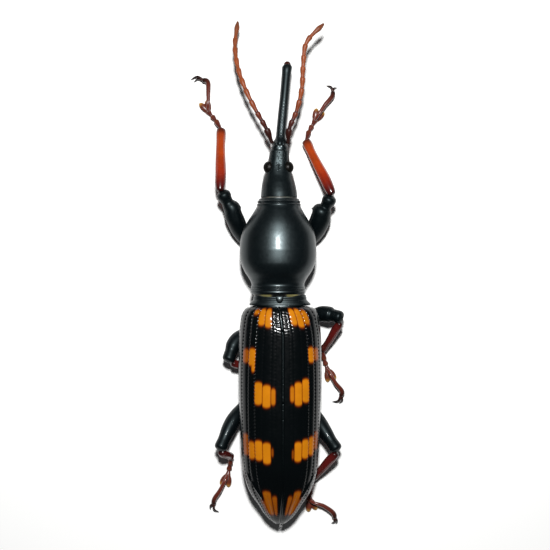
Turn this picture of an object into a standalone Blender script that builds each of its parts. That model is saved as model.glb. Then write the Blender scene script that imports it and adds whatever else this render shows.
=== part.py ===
# Giant straight-snouted weevil, Eutrachelus temminckii, as a still life-size model.
# Sizes are in millimetres and become metres when a mesh is made. The beetle faces -Y, its left
# side is +X and up is +Z. While it is shaped, y = 0 is the base of the wing cases and z = 0 the
# floor under its feet. At the end the whole model is centred on its own box.
import math

import bmesh
import bpy
import numpy as np

MM = 0.001
GAP = 0.3  # left between two pieces that meet

# Body outline, one row a station from front to back. The head, the snout and the prothorax give
# y, half width, top and bottom, and the centre line's x.
SNOUT = (
    (-31.30, 0.50, 4.72, 3.85, -1.03),
    (-31.00, 0.66, 4.82, 3.78, -1.00),
    (-30.20, 0.62, 4.92, 3.84, -0.93),
    (-28.00, 0.60, 5.18, 4.04, -0.74),
    (-24.00, 0.62, 5.56, 4.38, -0.36),
    (-22.20, 0.62, 5.74, 4.48, -0.20),
    (-21.60, 0.72, 5.88, 4.44, -0.15),
    (-20.95, 1.10, 6.12, 4.40, -0.06),
    (-20.30, 1.10, 6.14, 4.34, -0.03),
)
HEAD = (
    (-20.00, 1.24, 6.20, 4.28, 0.00),
    (-19.10, 1.34, 6.36, 4.20, 0.05),
    (-17.86, 1.58, 6.66, 4.05, 0.12),
    (-16.90, 1.84, 6.92, 3.92, 0.12),
    (-15.80, 2.14, 7.32, 3.68, 0.10),
    (-14.70, 2.31, 7.61, 3.50, 0.05),
    (-14.05, 2.36, 7.75, 3.46, 0.04),
)
PROTHORAX = (
    (-13.75, 2.60, 7.92, 3.22, 0.06),
    (-13.30, 2.76, 8.02, 3.10, 0.06),
    (-12.85, 2.84, 8.14, 3.02, 0.08),
    (-12.16, 3.21, 8.44, 2.86, 0.10),
    (-11.02, 3.90, 8.88, 2.60, 0.13),
    (-9.70, 4.59, 9.20, 2.36, 0.15),
    (-8.04, 4.90, 9.44, 2.20, 0.17),
    (-7.06, 4.94, 9.54, 2.18, 0.17),
    (-5.57, 4.79, 9.50, 2.24, 0.17),
    (-4.41, 4.30, 9.12, 2.44, 0.18),
    (-3.42, 3.66, 8.50, 2.74, 0.19),
    (-2.75, 3.40, 8.22, 2.92, 0.19),
    (-2.09, 3.56, 8.32, 2.84, 0.19),
    (-1.54, 3.44, 8.16, 2.94, 0.18),
)
# Places along the body that get a ring of their own, where the shape changes fastest
SNOUT_EXTRA = (-31.0, -30.5, -21.9, -21.6, -21.3, -20.95)
PROTHORAX_EXTRA = (-13.3, -12.85, -3.1, -2.75, -2.4, -2.09, -1.8)
WINGS_EXTRA = (0.3, 0.95, 22.9, 24.2, 25.3, 26.4, 27.23, 27.9)
# Wing cases: y, half width, top, level of the greatest width, level of the side margin.
WINGS = (
    (0.00, 4.02, 8.62, 5.60, 4.70),
    (0.30, 4.44, 8.90, 5.60, 4.50),
    (0.95, 4.88, 9.18, 5.56, 4.34),
    (2.20, 5.14, 9.40, 5.54, 4.28),
    (4.00, 5.28, 9.50, 5.52, 4.24),
    (8.57, 5.33, 9.60, 5.50, 4.20),
    (15.28, 5.15, 9.46, 5.44, 4.12),
    (18.55, 5.02, 9.20, 5.34, 4.05),
    (21.92, 4.62, 8.58, 5.10, 3.95),
    (24.38, 3.72, 7.56, 4.80, 3.80),
    (25.80, 2.78, 6.66, 4.50, 3.70),
    (27.23, 1.86, 5.52, 4.20, 3.55),
    (27.90, 1.24, 4.86, 4.00, 3.45),
    (28.35, 0.66, 4.30, 3.80, 3.40),
)
BODY_WIDEST = 0.45  # level of a body section's greatest width, as a part of its height
BODY_SQUARENESS = 2.1  # 2 is an ellipse, more is squarer
WING_CENTRE_X = -0.08
SUTURE_X = -0.45  # the seam between the wing cases, which lie rolled a little to one side
WING_WALL = 0.55
WALL_LIMITS = (0.42, 0.5)  # of the wall: as a part of the half width and of the height, near the tip
WING_UNDERTURN_LIMIT = 0.95  # sine of how far the side margin may turn in under the body
SEAM_HALF_GAP = 0.1
SECTION_STEPS = 240
UNDER_INSET = 0.98  # from the wing cases' outside to the body under them
WING_SQUARENESS = 2.25
# Grooves along each wing case, as parts of the way round from the seam to the side margin
GROOVES = (0.11, 0.17, 0.295, 0.418, 0.535, 0.66, 0.79, 0.90)
RIDGE_HEIGHT = 0.13
RIDGES_FADE_UNDER = 3.0  # half width below which the ridges grow lower, towards the tip
SEAM_SHIFT_LENGTH = 8.0  # length over which the seam moves aside from the scutellum
SEAM_SHIFT_WIDTH = 4.0  # half width below which it comes back to the middle, towards the tip
# Under side: y and the belly's level, and the cuts across it
BELLY = (
    (-1.25, 3.00), (0.60, 2.45), (2.00, 2.25), (6.00, 2.15),
    (14.00, 2.25), (20.00, 2.50), (25.00, 3.05), (28.00, 3.50),
)
# Neck of the mesothorax in front of the wing cases, widest beside them: y, half width and top
NECK = (
    (-1.24, 3.34, 7.42),
    (-0.75, 3.52, 7.50),
    (-0.32, 3.94, 7.62),
)
NECK_END = -0.26
MESOTHORAX_SPAN = (-1.24, 2.95)
METATHORAX_SPAN = (3.25, 12.10)
ABDOMEN_SPAN = (12.40, 27.05)
VENTRITE_ENDS = (16.9, 20.6, 22.6, 24.4)  # seams between the five plates of the belly
VENTRITE_GROOVE = 0.16
VENTRITE_GROOVE_HALF = 0.22

EYE_HALF_SIZES = (0.76, 0.82, 0.72)
EYE_CENTRE_Z = 5.62
EYE_SPREAD = 1.20  # from the head's centre line
EYE_GAP = 0.2
SCUTELLUM_X = -0.02
SCUTELLUM_TOP = 7.74
SCUTELLUM_HEIGHT = 0.55
SCUTELLUM_OUTLINE = ((-1.16, 0.48), (-0.85, 0.42), (-0.38, 0.15))  # y and half width
SCUTELLUM_BEVEL = 0.8  # its top's width as a part of its foot's
# Jaws, closed to a point: each row is the distance from the middle line, and that from the snout's end
JAW_LINE = ((0.22, -0.25), (0.26, 0.10), (0.08, 0.50))
JAW_RADII = (0.25, 0.25, 0.10)

# Antennae: a smooth line through these points, and the lengths of the eleven segments
ANTENNA_LINES = {
    "left": (
        (0.92, -20.95, 5.42), (1.62, -22.69, 5.90), (2.79, -24.73, 6.08), (4.27, -27.66, 6.05),
        (5.27, -30.42, 5.50), (5.75, -33.45, 4.60), (5.43, -37.19, 3.50),
    ),
    "right": (
        (-1.12, -20.95, 5.44), (-1.26, -22.70, 6.00), (-2.17, -24.98, 6.15), (-2.87, -27.87, 6.35),
        (-3.05, -31.00, 6.55), (-3.40, -33.60, 6.60), (-5.72, -36.28, 6.35),
    ),
}
ANTENNA_SEGMENTS = (2.10, 1.20, 1.20, 1.70, 1.60, 1.50, 1.45, 1.50, 1.50, 1.35, 2.45)
ANTENNA_JOINT_RADIUS = 0.25
ANTENNA_KNOB_RADIUS = 0.31
ANTENNA_LENGTHS = {"scape": (0, 1), "middle": (1, 7), "tip": (7, 11)}
ANTENNA_END_RADIUS = 0.12
ANTENNA_SCAPE_KNOB = 1.12  # the first segment's knob against the others'
SOCKET_RADIUS = 0.76

# Legs: the joints of each in the model's pose. The femur runs from the hip's side past root and
# club to the knee, the tibia to the ankle, the tarsus to the toe, the claw segment to the hook.
LEGS = {
    "front_left": {
        "hip": (1.62, -6.60, 1.98), "root": (3.84, -7.93, 1.72),
        "club": (5.90, -11.55, 3.60), "knee": (7.48, -14.95, 4.80),
        "ankle": (7.70, -23.35, 1.45), "toe": (9.45, -25.72, 0.36), "hook": (9.75, -29.85, 0.85),
        "claws": ((11.83, -30.03, 0.35), (11.38, -29.72, 0.30)),
    },
    "front_right": {
        "hip": (-1.38, -6.60, 1.98), "root": (-3.50, -8.06, 1.72),
        "club": (-5.25, -11.55, 3.60), "knee": (-6.62, -14.62, 4.80),
        "ankle": (-3.50, -21.80, 1.45), "toe": (-4.76, -24.57, 0.36), "hook": (-7.12, -28.15, 0.85),
        "claws": ((-6.27, -29.25, 0.35), (-7.68, -28.98, 0.30)),
    },
    "middle_left": {
        "hip": (1.55, 1.60, 1.92), "root": (3.58, 3.30, 1.70),
        "club": (5.62, 4.65, 2.75), "knee": (6.74, 7.10, 3.85),
        "ankle": (3.40, 8.10, 1.30), "toe": (1.55, 9.15, 0.36), "hook": (-1.55, 9.60, 0.75),
        "claws": ((-2.60, 10.35, 0.30), (-2.70, 9.00, 0.30)),
    },
    "middle_right": {
        "hip": (-1.70, 1.60, 1.92), "root": (-3.80, 1.30, 1.75),
        "club": (-5.95, 1.10, 2.95), "knee": (-8.20, 1.55, 4.35),
        "ankle": (-5.75, 6.00, 1.30), "toe": (-6.45, 8.60, 0.36), "hook": (-8.32, 11.78, 0.85),
        "claws": ((-7.07, 12.85, 0.35), (-8.35, 13.15, 0.30)),
    },
    "hind_left": {
        "hip": (1.95, 10.70, 1.90), "root": (3.90, 12.30, 1.75),
        "club": (6.30, 14.90, 3.30), "knee": (7.64, 18.65, 4.90),
        "ankle": (6.40, 20.05, 1.45), "toe": (6.85, 22.60, 0.36), "hook": (8.73, 26.55, 0.85),
        "claws": ((9.30, 27.60, 0.35), (8.02, 27.62, 0.30)),
    },
    "hind_right": {
        "hip": (-2.10, 10.70, 1.90), "root": (-3.95, 13.10, 1.75),
        "club": (-6.00, 16.10, 3.20), "knee": (-7.62, 18.90, 4.50),
        "ankle": (-4.45, 22.90, 1.35), "toe": (-4.05, 25.90, 0.36), "hook": (-7.47, 28.00, 0.95),
        "claws": ((-7.78, 29.20, 0.35), (-7.02, 29.12, 0.30)),
    },
}
# Sideways bow of the claw segment's middle, to the side named by its sign (+ is the beetle's left)
CLAW_SEGMENT_BENDS = {"front_left": -0.20, "front_right": 0.0, "hind_right": -0.32}
COXA_RADIUS = 1.02
COXA_GAP = 0.38  # between a coxa and its socket
COXA_REACH = 1.45  # from the hip to the end face that the femur meets
FEMUR_RADII = {"front": 1.16, "middle": 1.00, "hind": 0.98}
FEMUR_TOOTH_RING = 5
FEMUR_TOOTH_HEIGHT = 0.30
KNEE_RADII = {"front": 0.90, "middle": 0.82, "hind": 0.74}
KNEE_CENTRE = 0.87  # of the knee's round end, in knee radii back from the knee
TIBIA_RADII = {"front": 0.66, "middle": 0.54, "hind": 0.58}
TIBIA_RISE = 0.12  # of its middle over a straight line
TARSUS_RADIUS = 0.37
HEEL_LEAST_Z = 0.62
TOE_LOBE_HALF_SIZES = (0.88, 0.42, 0.30)
TOE_LOBE_SPREAD = math.radians(15)
TOE_LOBE_TURN = 0.7  # how far the pads follow the claw segment, against the tarsus's own direction
TOE_LOBE_REACH = 0.78
TOE_LOBE_Z = 0.25
CLAW_SEGMENT_RADIUS = 0.29
CLAW_SEGMENT_ROOT = 0.25  # ahead of the toe
CLAW_SEGMENT_ROOT_Z = 1.18
CLAW_SEGMENT_RISE = 0.30
CLAW_BOW = 0.30  # height of a claw's arc in plan, as a part of its chord
CLAW_RISE = 0.22
# Lengthwise shapes: part of the length, then part of the radius named above (of CLAW_SHAPE and
# the femur's root, the radius itself)
COXA_SHAPE = ((0.05, 0.42), (0.18, 0.80), (0.38, 1.00), (0.56, 0.88), (0.74, 0.58), (1.00, 0.45))
FEMUR_ROOT_STATIONS = (0.0, 0.10)
FEMUR_ROOT_RADII = (0.44, 0.56)
FEMUR_SHAPE = ((0.28, 0.78), (0.42, 0.97), (0.54, 1.00), (0.66, 0.94))
TIBIA_SHAPE = (
    (0.00, 0.64), (0.08, 0.84), (0.22, 0.98), (0.38, 1.00),
    (0.60, 0.90), (0.80, 0.82), (0.93, 0.94), (1.00, 0.82),
)
TARSUS_SHAPE = (
    (0.00, 0.66), (0.18, 0.78), (0.40, 1.00), (0.47, 0.90), (0.54, 0.74),
    (0.74, 1.00), (0.82, 0.92), (0.88, 0.74), (1.00, 0.74),
)
CLAW_SEGMENT_SHAPE = ((0.00, 0.70), (0.15, 0.76), (0.45, 0.92), (0.78, 1.10), (0.93, 1.14), (1.00, 0.88))
CLAW_SHAPE = ((0.00, 0.22), (0.25, 0.24), (0.50, 0.22), (0.75, 0.16), (1.00, 0.08))
# Rings of a knee's round end: how far back from the knee, and radius, both in knee radii
KNEE_SHAPE = ((1.80, 0.86), (1.40, 0.90), (0.87, 1.00), (0.33, 0.84), (0.00, 0.50))

COLOURS = {
    "black shell": ((0.010, 0.013, 0.014), 0.28),
    "glossy wing case": ((0.008, 0.011, 0.012), 0.15),
    "dark red": ((0.14, 0.012, 0.014), 0.30),
    "red orange": ((0.42, 0.075, 0.020), 0.30),
    "brown feeler": ((0.16, 0.045, 0.022), 0.40),
    "claw": ((0.020, 0.010, 0.008), 0.25),
    "eye": ((0.012, 0.008, 0.006), 0.12),
}


def hermite(knots, values, keep_shape):
    """A smooth function through the values at the knots. With keep_shape it never swings past them."""
    knots = np.asarray(knots, float)
    values = np.asarray(values, float)
    spans = np.diff(knots)[:, None] if values.ndim > 1 else np.diff(knots)
    rises = np.diff(values, axis=0) / spans
    slopes = np.empty_like(values)
    slopes[0] = rises[0]
    slopes[-1] = rises[-1]
    slopes[1:-1] = (rises[:-1] * spans[1:] + rises[1:] * spans[:-1]) / (spans[:-1] + spans[1:])
    if keep_shape:
        turning = rises[:-1] * rises[1:] <= 0
        steepest = 3 * np.minimum(abs(rises[:-1]), abs(rises[1:]))
        slopes[1:-1] = np.where(turning, 0, np.clip(slopes[1:-1], -steepest, steepest))

    def at(place):
        place = np.atleast_1d(np.asarray(place, float))
        row = np.clip(np.searchsorted(knots, place, side="right") - 1, 0, len(knots) - 2)
        width = knots[row + 1] - knots[row]
        t = np.clip((place - knots[row]) / width, 0, 1)
        if values.ndim > 1:
            t = t[:, None]
            width = width[:, None]
        first = (1 + 2 * t) * (1 - t) ** 2 * values[row] + t * t * (3 - 2 * t) * values[row + 1]
        return first + t * (1 - t) ** 2 * width * slopes[row] - t * t * (1 - t) * width * slopes[row + 1]

    return at


def profile(rows, column):
    rows = np.asarray(rows, float)
    return hermite(rows[:, 0], rows[:, column], True)


def between(low, high, count, crowded=()):
    """Places from low to high, evenly spread, with those in crowded added."""
    places = np.linspace(low, high, count)
    return np.unique(np.concatenate([places, [p for p in crowded if low < p < high]]))


def make_material(name):
    colour, roughness = COLOURS[name]
    material = bpy.data.materials.new(name)
    material.use_nodes = True
    shader = material.node_tree.nodes["Principled BSDF"]
    shader.inputs["Base Color"].default_value = (*colour, 1)
    shader.inputs["Roughness"].default_value = roughness
    shader.inputs["Metallic"].default_value = 0
    return material


def add_object(name, points, faces, material):
    """A mesh object from points in millimetres, with its faces turned outwards."""
    mesh = bpy.data.meshes.new(name)
    mesh.from_pydata((np.asarray(points) * MM).tolist(), [], faces)
    shape = bmesh.new()
    shape.from_mesh(mesh)
    if shape.calc_volume(signed=True) < 0:
        bmesh.ops.reverse_faces(shape, faces=shape.faces)
    shape.to_mesh(mesh)
    shape.free()
    mesh.shade_smooth()
    mesh.set_sharp_from_angle(angle=math.radians(50))
    mesh.materials.append(bpy.data.materials.get(material) or make_material(material))
    thing = bpy.data.objects.new(name, mesh)
    bpy.context.scene.collection.objects.link(thing)
    return thing


def skin(name, rings, material, front_point=None, back_point=None):
    """A closed surface over rings of equal count. Each end is a flat face, or runs to a point."""
    rings = np.asarray(rings, float)
    count, sides = rings.shape[:2]
    points = list(rings.reshape(-1, 3))
    faces = []
    for ring in range(count - 1):
        for side in range(sides):
            step = (side + 1) % sides
            here = ring * sides
            faces.append((here + side, here + step, here + sides + step, here + sides + side))
    for end, tip, turned in ((0, front_point, True), (count - 1, back_point, False)):
        rim = [end * sides + side for side in range(sides)]
        if turned:
            rim.reverse()
        if tip is None:
            faces.append(tuple(rim))
            continue
        points.append(np.asarray(tip, float))
        faces.extend((rim[side], rim[(side + 1) % sides], len(points) - 1) for side in range(sides))
    return add_object(name, points, faces, material)


def upright_rings(places, centre, width, top, widest, bottom, sides, squareness):
    """Closed sections at the y places, each a squared oval with its own upper and lower half."""
    angles = np.arange(sides) * math.tau / sides + math.pi / 2
    across = np.sign(np.cos(angles)) * abs(np.cos(angles)) ** (2 / squareness)
    upwards = np.sign(np.sin(angles)) * abs(np.sin(angles)) ** (2 / squareness)
    rings = np.empty((len(places), sides, 3))
    rings[:, :, 0] = np.reshape(centre, (-1, 1)) + width[:, None] * across
    rings[:, :, 1] = places[:, None]
    above = (top - widest)[:, None] * np.maximum(upwards, 0)
    below = (widest - bottom)[:, None] * np.minimum(upwards, 0)
    rings[:, :, 2] = widest[:, None] + above + below
    return rings


def body_rings(rows, places, sides):
    """Sections of the snout, head or prothorax."""
    width, top, bottom, centre = (profile(rows, column)(places) for column in (1, 2, 3, 4))
    widest = bottom + BODY_WIDEST * (top - bottom)
    return upright_rings(places, centre, width, top, widest, bottom, sides, BODY_SQUARENESS)


END_DOME = 0.45  # height of a limb's round end, as a part of its last radius
CURVE_STEPS = 200


def limb(name, line, stations, radii, sides, material, flatness=1.0, round_ends=(True, True), tooth=None):
    """A tube of changing radius on a smooth line. Stations are parts of its length.
    flatness is its height over its width. A tooth is one point of one ring, pulled out."""
    line = np.asarray(line, float)
    knots = np.concatenate([[0], np.cumsum(np.linalg.norm(np.diff(line, axis=0), axis=1))])
    curve = hermite(knots, line, False)
    fine = np.linspace(0, knots[-1], CURVE_STEPS)
    track = curve(fine)
    lengths = np.concatenate([[0], np.cumsum(np.linalg.norm(np.diff(track, axis=0), axis=1))])
    spots = np.interp(np.asarray(stations) * lengths[-1], lengths, fine)
    step = knots[-1] * 1e-3
    forward = curve(np.minimum(spots + step, knots[-1])) - curve(np.maximum(spots - step, 0))
    forward /= np.linalg.norm(forward, axis=1)[:, None]
    sideways = np.cross(forward, (0, 0, 1))
    sideways /= np.linalg.norm(sideways, axis=1)[:, None]
    upward = np.cross(sideways, forward)
    angles = np.arange(sides) * math.tau / sides
    radii = np.asarray(radii, float)[:, None, None]
    cosines = np.cos(angles)[:, None]
    sines = np.sin(angles)[:, None] * flatness
    around = sideways[:, None] * cosines + upward[:, None] * sines
    rings = curve(spots)[:, None] + radii * around
    if tooth:
        ring, side, height = tooth
        rings[ring, side] += around[ring, side] * height
    ends = [None, None]
    if round_ends[0]:
        ends[0] = curve(0)[0] - forward[0] * radii[0, 0, 0] * END_DOME
    if round_ends[1]:
        ends[1] = curve(knots[-1])[0] + forward[-1] * radii[-1, 0, 0] * END_DOME
    return skin(name, rings, material, *ends)


def ball(name, centre, half_sizes, material, sides=14, heading=0.0):
    """An oval ball, its first half size along heading in plan."""
    polar = np.linspace(0, math.pi, sides // 2 + 1)[1:-1]
    angles = np.arange(sides) * math.tau / sides
    rings = np.empty((len(polar), sides, 3))
    rings[:, :, 0] = half_sizes[0] * np.cos(polar)[:, None]
    rings[:, :, 1] = half_sizes[1] * np.sin(polar)[:, None] * np.cos(angles)
    rings[:, :, 2] = half_sizes[2] * np.sin(polar)[:, None] * np.sin(angles)
    cosine = math.cos(heading)
    sine = math.sin(heading)
    turn = np.array([[cosine, sine, 0], [-sine, cosine, 0], [0, 0, 1]])
    centre = np.asarray(centre, float)
    tips = np.array([[half_sizes[0], 0, 0], [-half_sizes[0], 0, 0]]) @ turn + centre
    return skin(name, rings @ turn + centre, material, tips[0], tips[1])


def largest_surface(mesh):
    """Keeps the closed surface with the most faces, where a Boolean left several."""
    shape = bmesh.new()
    shape.from_mesh(mesh)
    shape.faces.ensure_lookup_table()
    unseen = set(shape.faces)
    pieces = []
    while unseen:
        piece = {unseen.pop()}
        front_faces = list(piece)
        while front_faces:
            face = front_faces.pop()
            for edge in face.edges:
                for neighbour in edge.link_faces:
                    if neighbour in unseen:
                        unseen.discard(neighbour)
                        piece.add(neighbour)
                        front_faces.append(neighbour)
        pieces.append(piece)
    pieces.sort(key=len)
    dropped = [face for piece in pieces[:-1] for face in piece]
    if dropped:
        bmesh.ops.delete(shape, geom=dropped, context="FACES")
        shape.to_mesh(mesh)
    shape.free()


def combine(thing, others, operation):
    """Joins the others to the thing, or cuts them from it, with one Boolean, then removes them."""
    tools = bpy.data.collections.new("tools")
    bpy.context.scene.collection.children.link(tools)
    for other in others:
        for holder in list(other.users_collection):
            holder.objects.unlink(other)
        tools.objects.link(other)
    modifier = thing.modifiers.new("combine", "BOOLEAN")
    modifier.operation = operation
    modifier.solver = "EXACT"
    modifier.operand_type = "COLLECTION"
    modifier.collection = tools
    bpy.context.view_layer.update()
    shaped = thing.evaluated_get(bpy.context.evaluated_depsgraph_get())
    mesh = bpy.data.meshes.new_from_object(shaped)
    thing.modifiers.clear()
    thing.data = mesh
    mesh.name = thing.name
    for other in others:
        bpy.data.objects.remove(other)
    bpy.data.collections.remove(tools)
    largest_surface(mesh)
    return thing


def cut_level(thing, level=0.0):
    """Cuts away what is below the level and closes the cut with flat faces."""
    shape = bmesh.new()
    shape.from_mesh(thing.data)
    geometry = list(shape.verts) + list(shape.edges) + list(shape.faces)
    bmesh.ops.bisect_plane(
        shape, geom=geometry, dist=1e-7, plane_co=(0, 0, level * MM), plane_no=(0, 0, 1), clear_inner=True
    )
    rim = [edge for edge in shape.edges if edge.is_boundary]
    bmesh.ops.holes_fill(shape, edges=rim, sides=0)
    shape.to_mesh(thing.data)
    shape.free()


def round_cutter(centre, radius, sides=12):
    return ball("socket", centre, (radius,) * 3, "black shell", sides=sides)


def make_snout():
    places = between(SNOUT[0][0], SNOUT[-1][0], 8, crowded=SNOUT_EXTRA)
    snout = skin("rostrum", body_rings(SNOUT, places, 12), "black shell")
    tip_y = SNOUT[0][0]
    tip_x = SNOUT[0][4]
    level = (SNOUT[0][2] + SNOUT[0][3]) / 2
    jaws = []
    for side in (-1, 1):
        line = [(tip_x + side * aside, tip_y - ahead, level) for aside, ahead in JAW_LINE]
        jaws.append(limb("jaw", line, (0, 0.5, 1), JAW_RADII, 8, "black shell"))
    combine(snout, jaws, "UNION")
    sockets = [round_cutter(line[0], SOCKET_RADIUS, 10) for line in ANTENNA_LINES.values()]
    combine(snout, sockets, "DIFFERENCE")


def make_head():
    places = between(HEAD[0][0], HEAD[-1][0], 9)
    head = skin("head", body_rings(HEAD, places, 24), "black shell")
    eye_y = HEAD[2][0]
    middle = HEAD[2][4]
    sockets = []
    for name, side in (("left", 1), ("right", -1)):
        centre = (middle + side * EYE_SPREAD, eye_y, EYE_CENTRE_Z)
        ball(f"eye_{name}", centre, EYE_HALF_SIZES, "eye", sides=12)
        socket_sizes = tuple(half + EYE_GAP for half in EYE_HALF_SIZES)
        sockets.append(ball("socket", centre, socket_sizes, "black shell", sides=12))
    combine(head, sockets, "DIFFERENCE")


def coxa_sockets(pair):
    """Cutters round both hips of a pair of legs."""
    radius = COXA_RADIUS + COXA_GAP
    return [round_cutter(LEGS[f"{pair}_{side}"]["hip"], radius) for side in ("left", "right")]


def make_prothorax():
    front = PROTHORAX[0][0]
    back = PROTHORAX[-1][0]
    places = between(front, back, 13, crowded=PROTHORAX_EXTRA)
    prothorax = skin("prothorax", body_rings(PROTHORAX, places, 28), "black shell")
    combine(prothorax, coxa_sockets("front"), "DIFFERENCE")


def under_rings(places, sides):
    """Sections of the body under the wing cases: the upper half follows them, the lower is the belly."""
    beside = np.clip(places, WINGS[0][0], None)
    is_neck = places < NECK_END
    width = np.where(is_neck, profile(NECK, 1)(places), profile(WINGS, 1)(beside) - UNDER_INSET)
    top = np.where(is_neck, profile(NECK, 2)(places), profile(WINGS, 2)(beside) - UNDER_INSET)
    widest = profile(WINGS, 3)(beside)
    bottom = profile(BELLY, 1)(places)
    return upright_rings(places, WING_CENTRE_X, width, top, widest, bottom, sides, WING_SQUARENESS)


def make_mesothorax():
    places = between(*MESOTHORAX_SPAN, 6, crowded=(NECK[1][0], NECK[2][0], NECK_END + 0.04, 0.3))
    body = skin("mesothorax", under_rings(places, 24), "black shell")
    foot = SCUTELLUM_TOP - SCUTELLUM_HEIGHT
    rings = []
    for y, half in SCUTELLUM_OUTLINE:
        upper = half * SCUTELLUM_BEVEL
        corners = ((-half, foot), (half, foot), (upper, SCUTELLUM_TOP), (-upper, SCUTELLUM_TOP))
        rings.append([(SCUTELLUM_X + x, y, z) for x, z in corners])
    combine(body, [skin("scutellum", rings, "black shell")], "UNION")
    combine(body, coxa_sockets("middle"), "DIFFERENCE")


def make_metathorax():
    places = between(*METATHORAX_SPAN, 8)
    body = skin("metathorax", under_rings(places, 24), "black shell")
    combine(body, coxa_sockets("hind"), "DIFFERENCE")


def make_abdomen():
    start, end = ABDOMEN_SPAN
    shifts = (-VENTRITE_GROOVE_HALF, 0.0, VENTRITE_GROOVE_HALF)
    edges = [place + shift for place in VENTRITE_ENDS for shift in shifts]
    places = between(start, end, 9, crowded=edges)
    depth = np.where(np.isin(places, VENTRITE_ENDS), VENTRITE_GROOVE, 0.0)
    rings = under_rings(places, 24)
    lower = rings[:, :, 2] < profile(WINGS, 3)(places)[:, None]
    rings[:, :, 2] += np.where(lower, depth[:, None], 0)
    skin("abdomen", rings, "black shell")


def round_wing(y, side, inset, fractions, ridged):
    """Points of one wing case's cross-section at y, from the seam out to the side margin."""
    width, top, widest, margin = (float(profile(WINGS, column)(y)[0]) for column in (1, 2, 3, 4))
    wall = min(inset, WALL_LIMITS[0] * width, WALL_LIMITS[1] * (top - margin))
    shift = min(1.0, y / SEAM_SHIFT_LENGTH, width / SEAM_SHIFT_WIDTH)
    seam = SUTURE_X * shift + side * SEAM_HALF_GAP
    edge = WING_CENTRE_X + side * (width - wall)
    lower = widest - float(profile(BELLY, 1)(y)[0])
    last = math.asin(min(WING_UNDERTURN_LIMIT, (widest - margin) / lower)) + math.pi / 2
    angles = np.linspace(0, last, SECTION_STEPS)
    upper = np.clip(angles, 0, math.pi / 2)
    under = np.clip(angles - math.pi / 2, 0, None)
    power = 2 / WING_SQUARENESS
    x = seam + (edge - seam) * np.sin(upper) ** power * np.cos(under)
    z = widest + (top - wall - widest) * np.cos(upper) ** power - lower * np.sin(under)
    lengths = np.concatenate([[0], np.cumsum(np.hypot(np.diff(x), np.diff(z)))])
    places = np.asarray(fractions) * lengths[-1]
    section = np.full((len(places), 3), y)
    section[:, 0] = np.interp(places, lengths, x)
    section[:, 2] = np.interp(places, lengths, z)
    if ridged:
        grooved = np.isin(fractions, GROOVES)
        inward = np.array([WING_CENTRE_X, y, widest]) - section
        inward /= np.linalg.norm(inward, axis=1)[:, None]
        fade = min(1.0, width / RIDGES_FADE_UNDER)
        section += inward * (grooved * RIDGE_HEIGHT * fade)[:, None]
    return section


def make_wing_case(name, side):
    """A curved wall with its ridges between the grooves, closed round its margin."""
    marks = (0.0, *GROOVES, 1.0)
    crests = [(first + second) / 2 for first, second in zip(marks, marks[1:])]
    outer = sorted({*marks, *crests})
    inner = np.linspace(1, 0, 8)
    places = between(WINGS[0][0], WINGS[-1][0], 14, crowded=WINGS_EXTRA)
    rings = []
    for y in places:
        outside = round_wing(y, side, 0.0, outer, True)
        inside = round_wing(y, side, WING_WALL, inner, False)
        rings.append(np.concatenate([outside, inside]))
    skin(f"elytron_{name}", rings, "glossy wing case")


def segment_rings(segment, low):
    """Places and radii along one feeler segment: narrow at its root, thick near its outer end."""
    size = ANTENNA_SEGMENTS[segment]
    waist = ANTENNA_JOINT_RADIUS
    knob = ANTENNA_KNOB_RADIUS * (ANTENNA_SCAPE_KNOB if segment == 0 else 1.0)
    if segment == len(ANTENNA_SEGMENTS) - 1:
        shape = ((0, waist), (0.3, waist * 1.1), (0.62, knob), (0.93, waist))
    else:
        shape = ((0, waist), (0.3, waist * 1.1), (0.78, knob), (0.93, knob * 0.92))
    return [(low + part * size, radius) for part, radius in shape]


def make_antenna(name, line):
    """Eleven segments in three lengths, with a gap between two lengths."""
    ends = np.concatenate([[0], np.cumsum(ANTENNA_SEGMENTS)])
    line = np.asarray(line, float)
    knots = np.concatenate([[0], np.cumsum(np.linalg.norm(np.diff(line, axis=0), axis=1))])
    curve = hermite(knots / knots[-1], line, False)
    for length, (first, last) in ANTENNA_LENGTHS.items():
        is_tip = last == len(ANTENNA_SEGMENTS)
        start = ends[first] + (GAP / 2 if first else 0)
        stop = ends[last] - (0 if is_tip else GAP / 2)
        rings = [ring for segment in range(first, last) for ring in segment_rings(segment, ends[segment])]
        rings.append((ends[last], ANTENNA_END_RADIUS if is_tip else ANTENNA_JOINT_RADIUS))
        places, radii = np.array(rings).T
        part_line = curve(np.linspace(start, stop, 12) / ends[-1])
        stations = (np.clip(places, start, stop) - start) / (stop - start)
        part_name = f"antenna_{name}_{length}"
        limb(part_name, part_line, stations, radii, 8, "brown feeler", round_ends=(False, is_tip))


def unit(vector):
    vector = np.asarray(vector, float)
    return vector / np.linalg.norm(vector)


def make_leg(name, joints):
    """Coxa, femur, tibia, tarsus and claws of one leg."""
    pair = name.split("_")[0]
    hip, root, club, knee, ankle, toe, hook = (
        np.array(joints[joint]) for joint in ("hip", "root", "club", "knee", "ankle", "toe", "hook")
    )
    outward = unit(root - hip)
    down = unit(ankle - knee)
    make_coxa(name, hip, outward)
    make_femur(name, (hip + outward * (COXA_REACH + GAP), root, club, knee))
    make_tibia(name, shin_start(pair, club, knee, down), ankle)
    make_tarsus(name, ankle, toe, hook, down)
    make_claws(name, toe, hook, joints["claws"])


def shin_start(pair, club, knee, down):
    """Where the tibia starts: as far down its line as leaves the gap to the knee's round end."""
    radius = KNEE_RADII[pair]
    centre_to_knee = unit(knee - club) * KNEE_CENTRE * radius
    return knee + down * (radius + GAP - np.dot(centre_to_knee, down))


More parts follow.
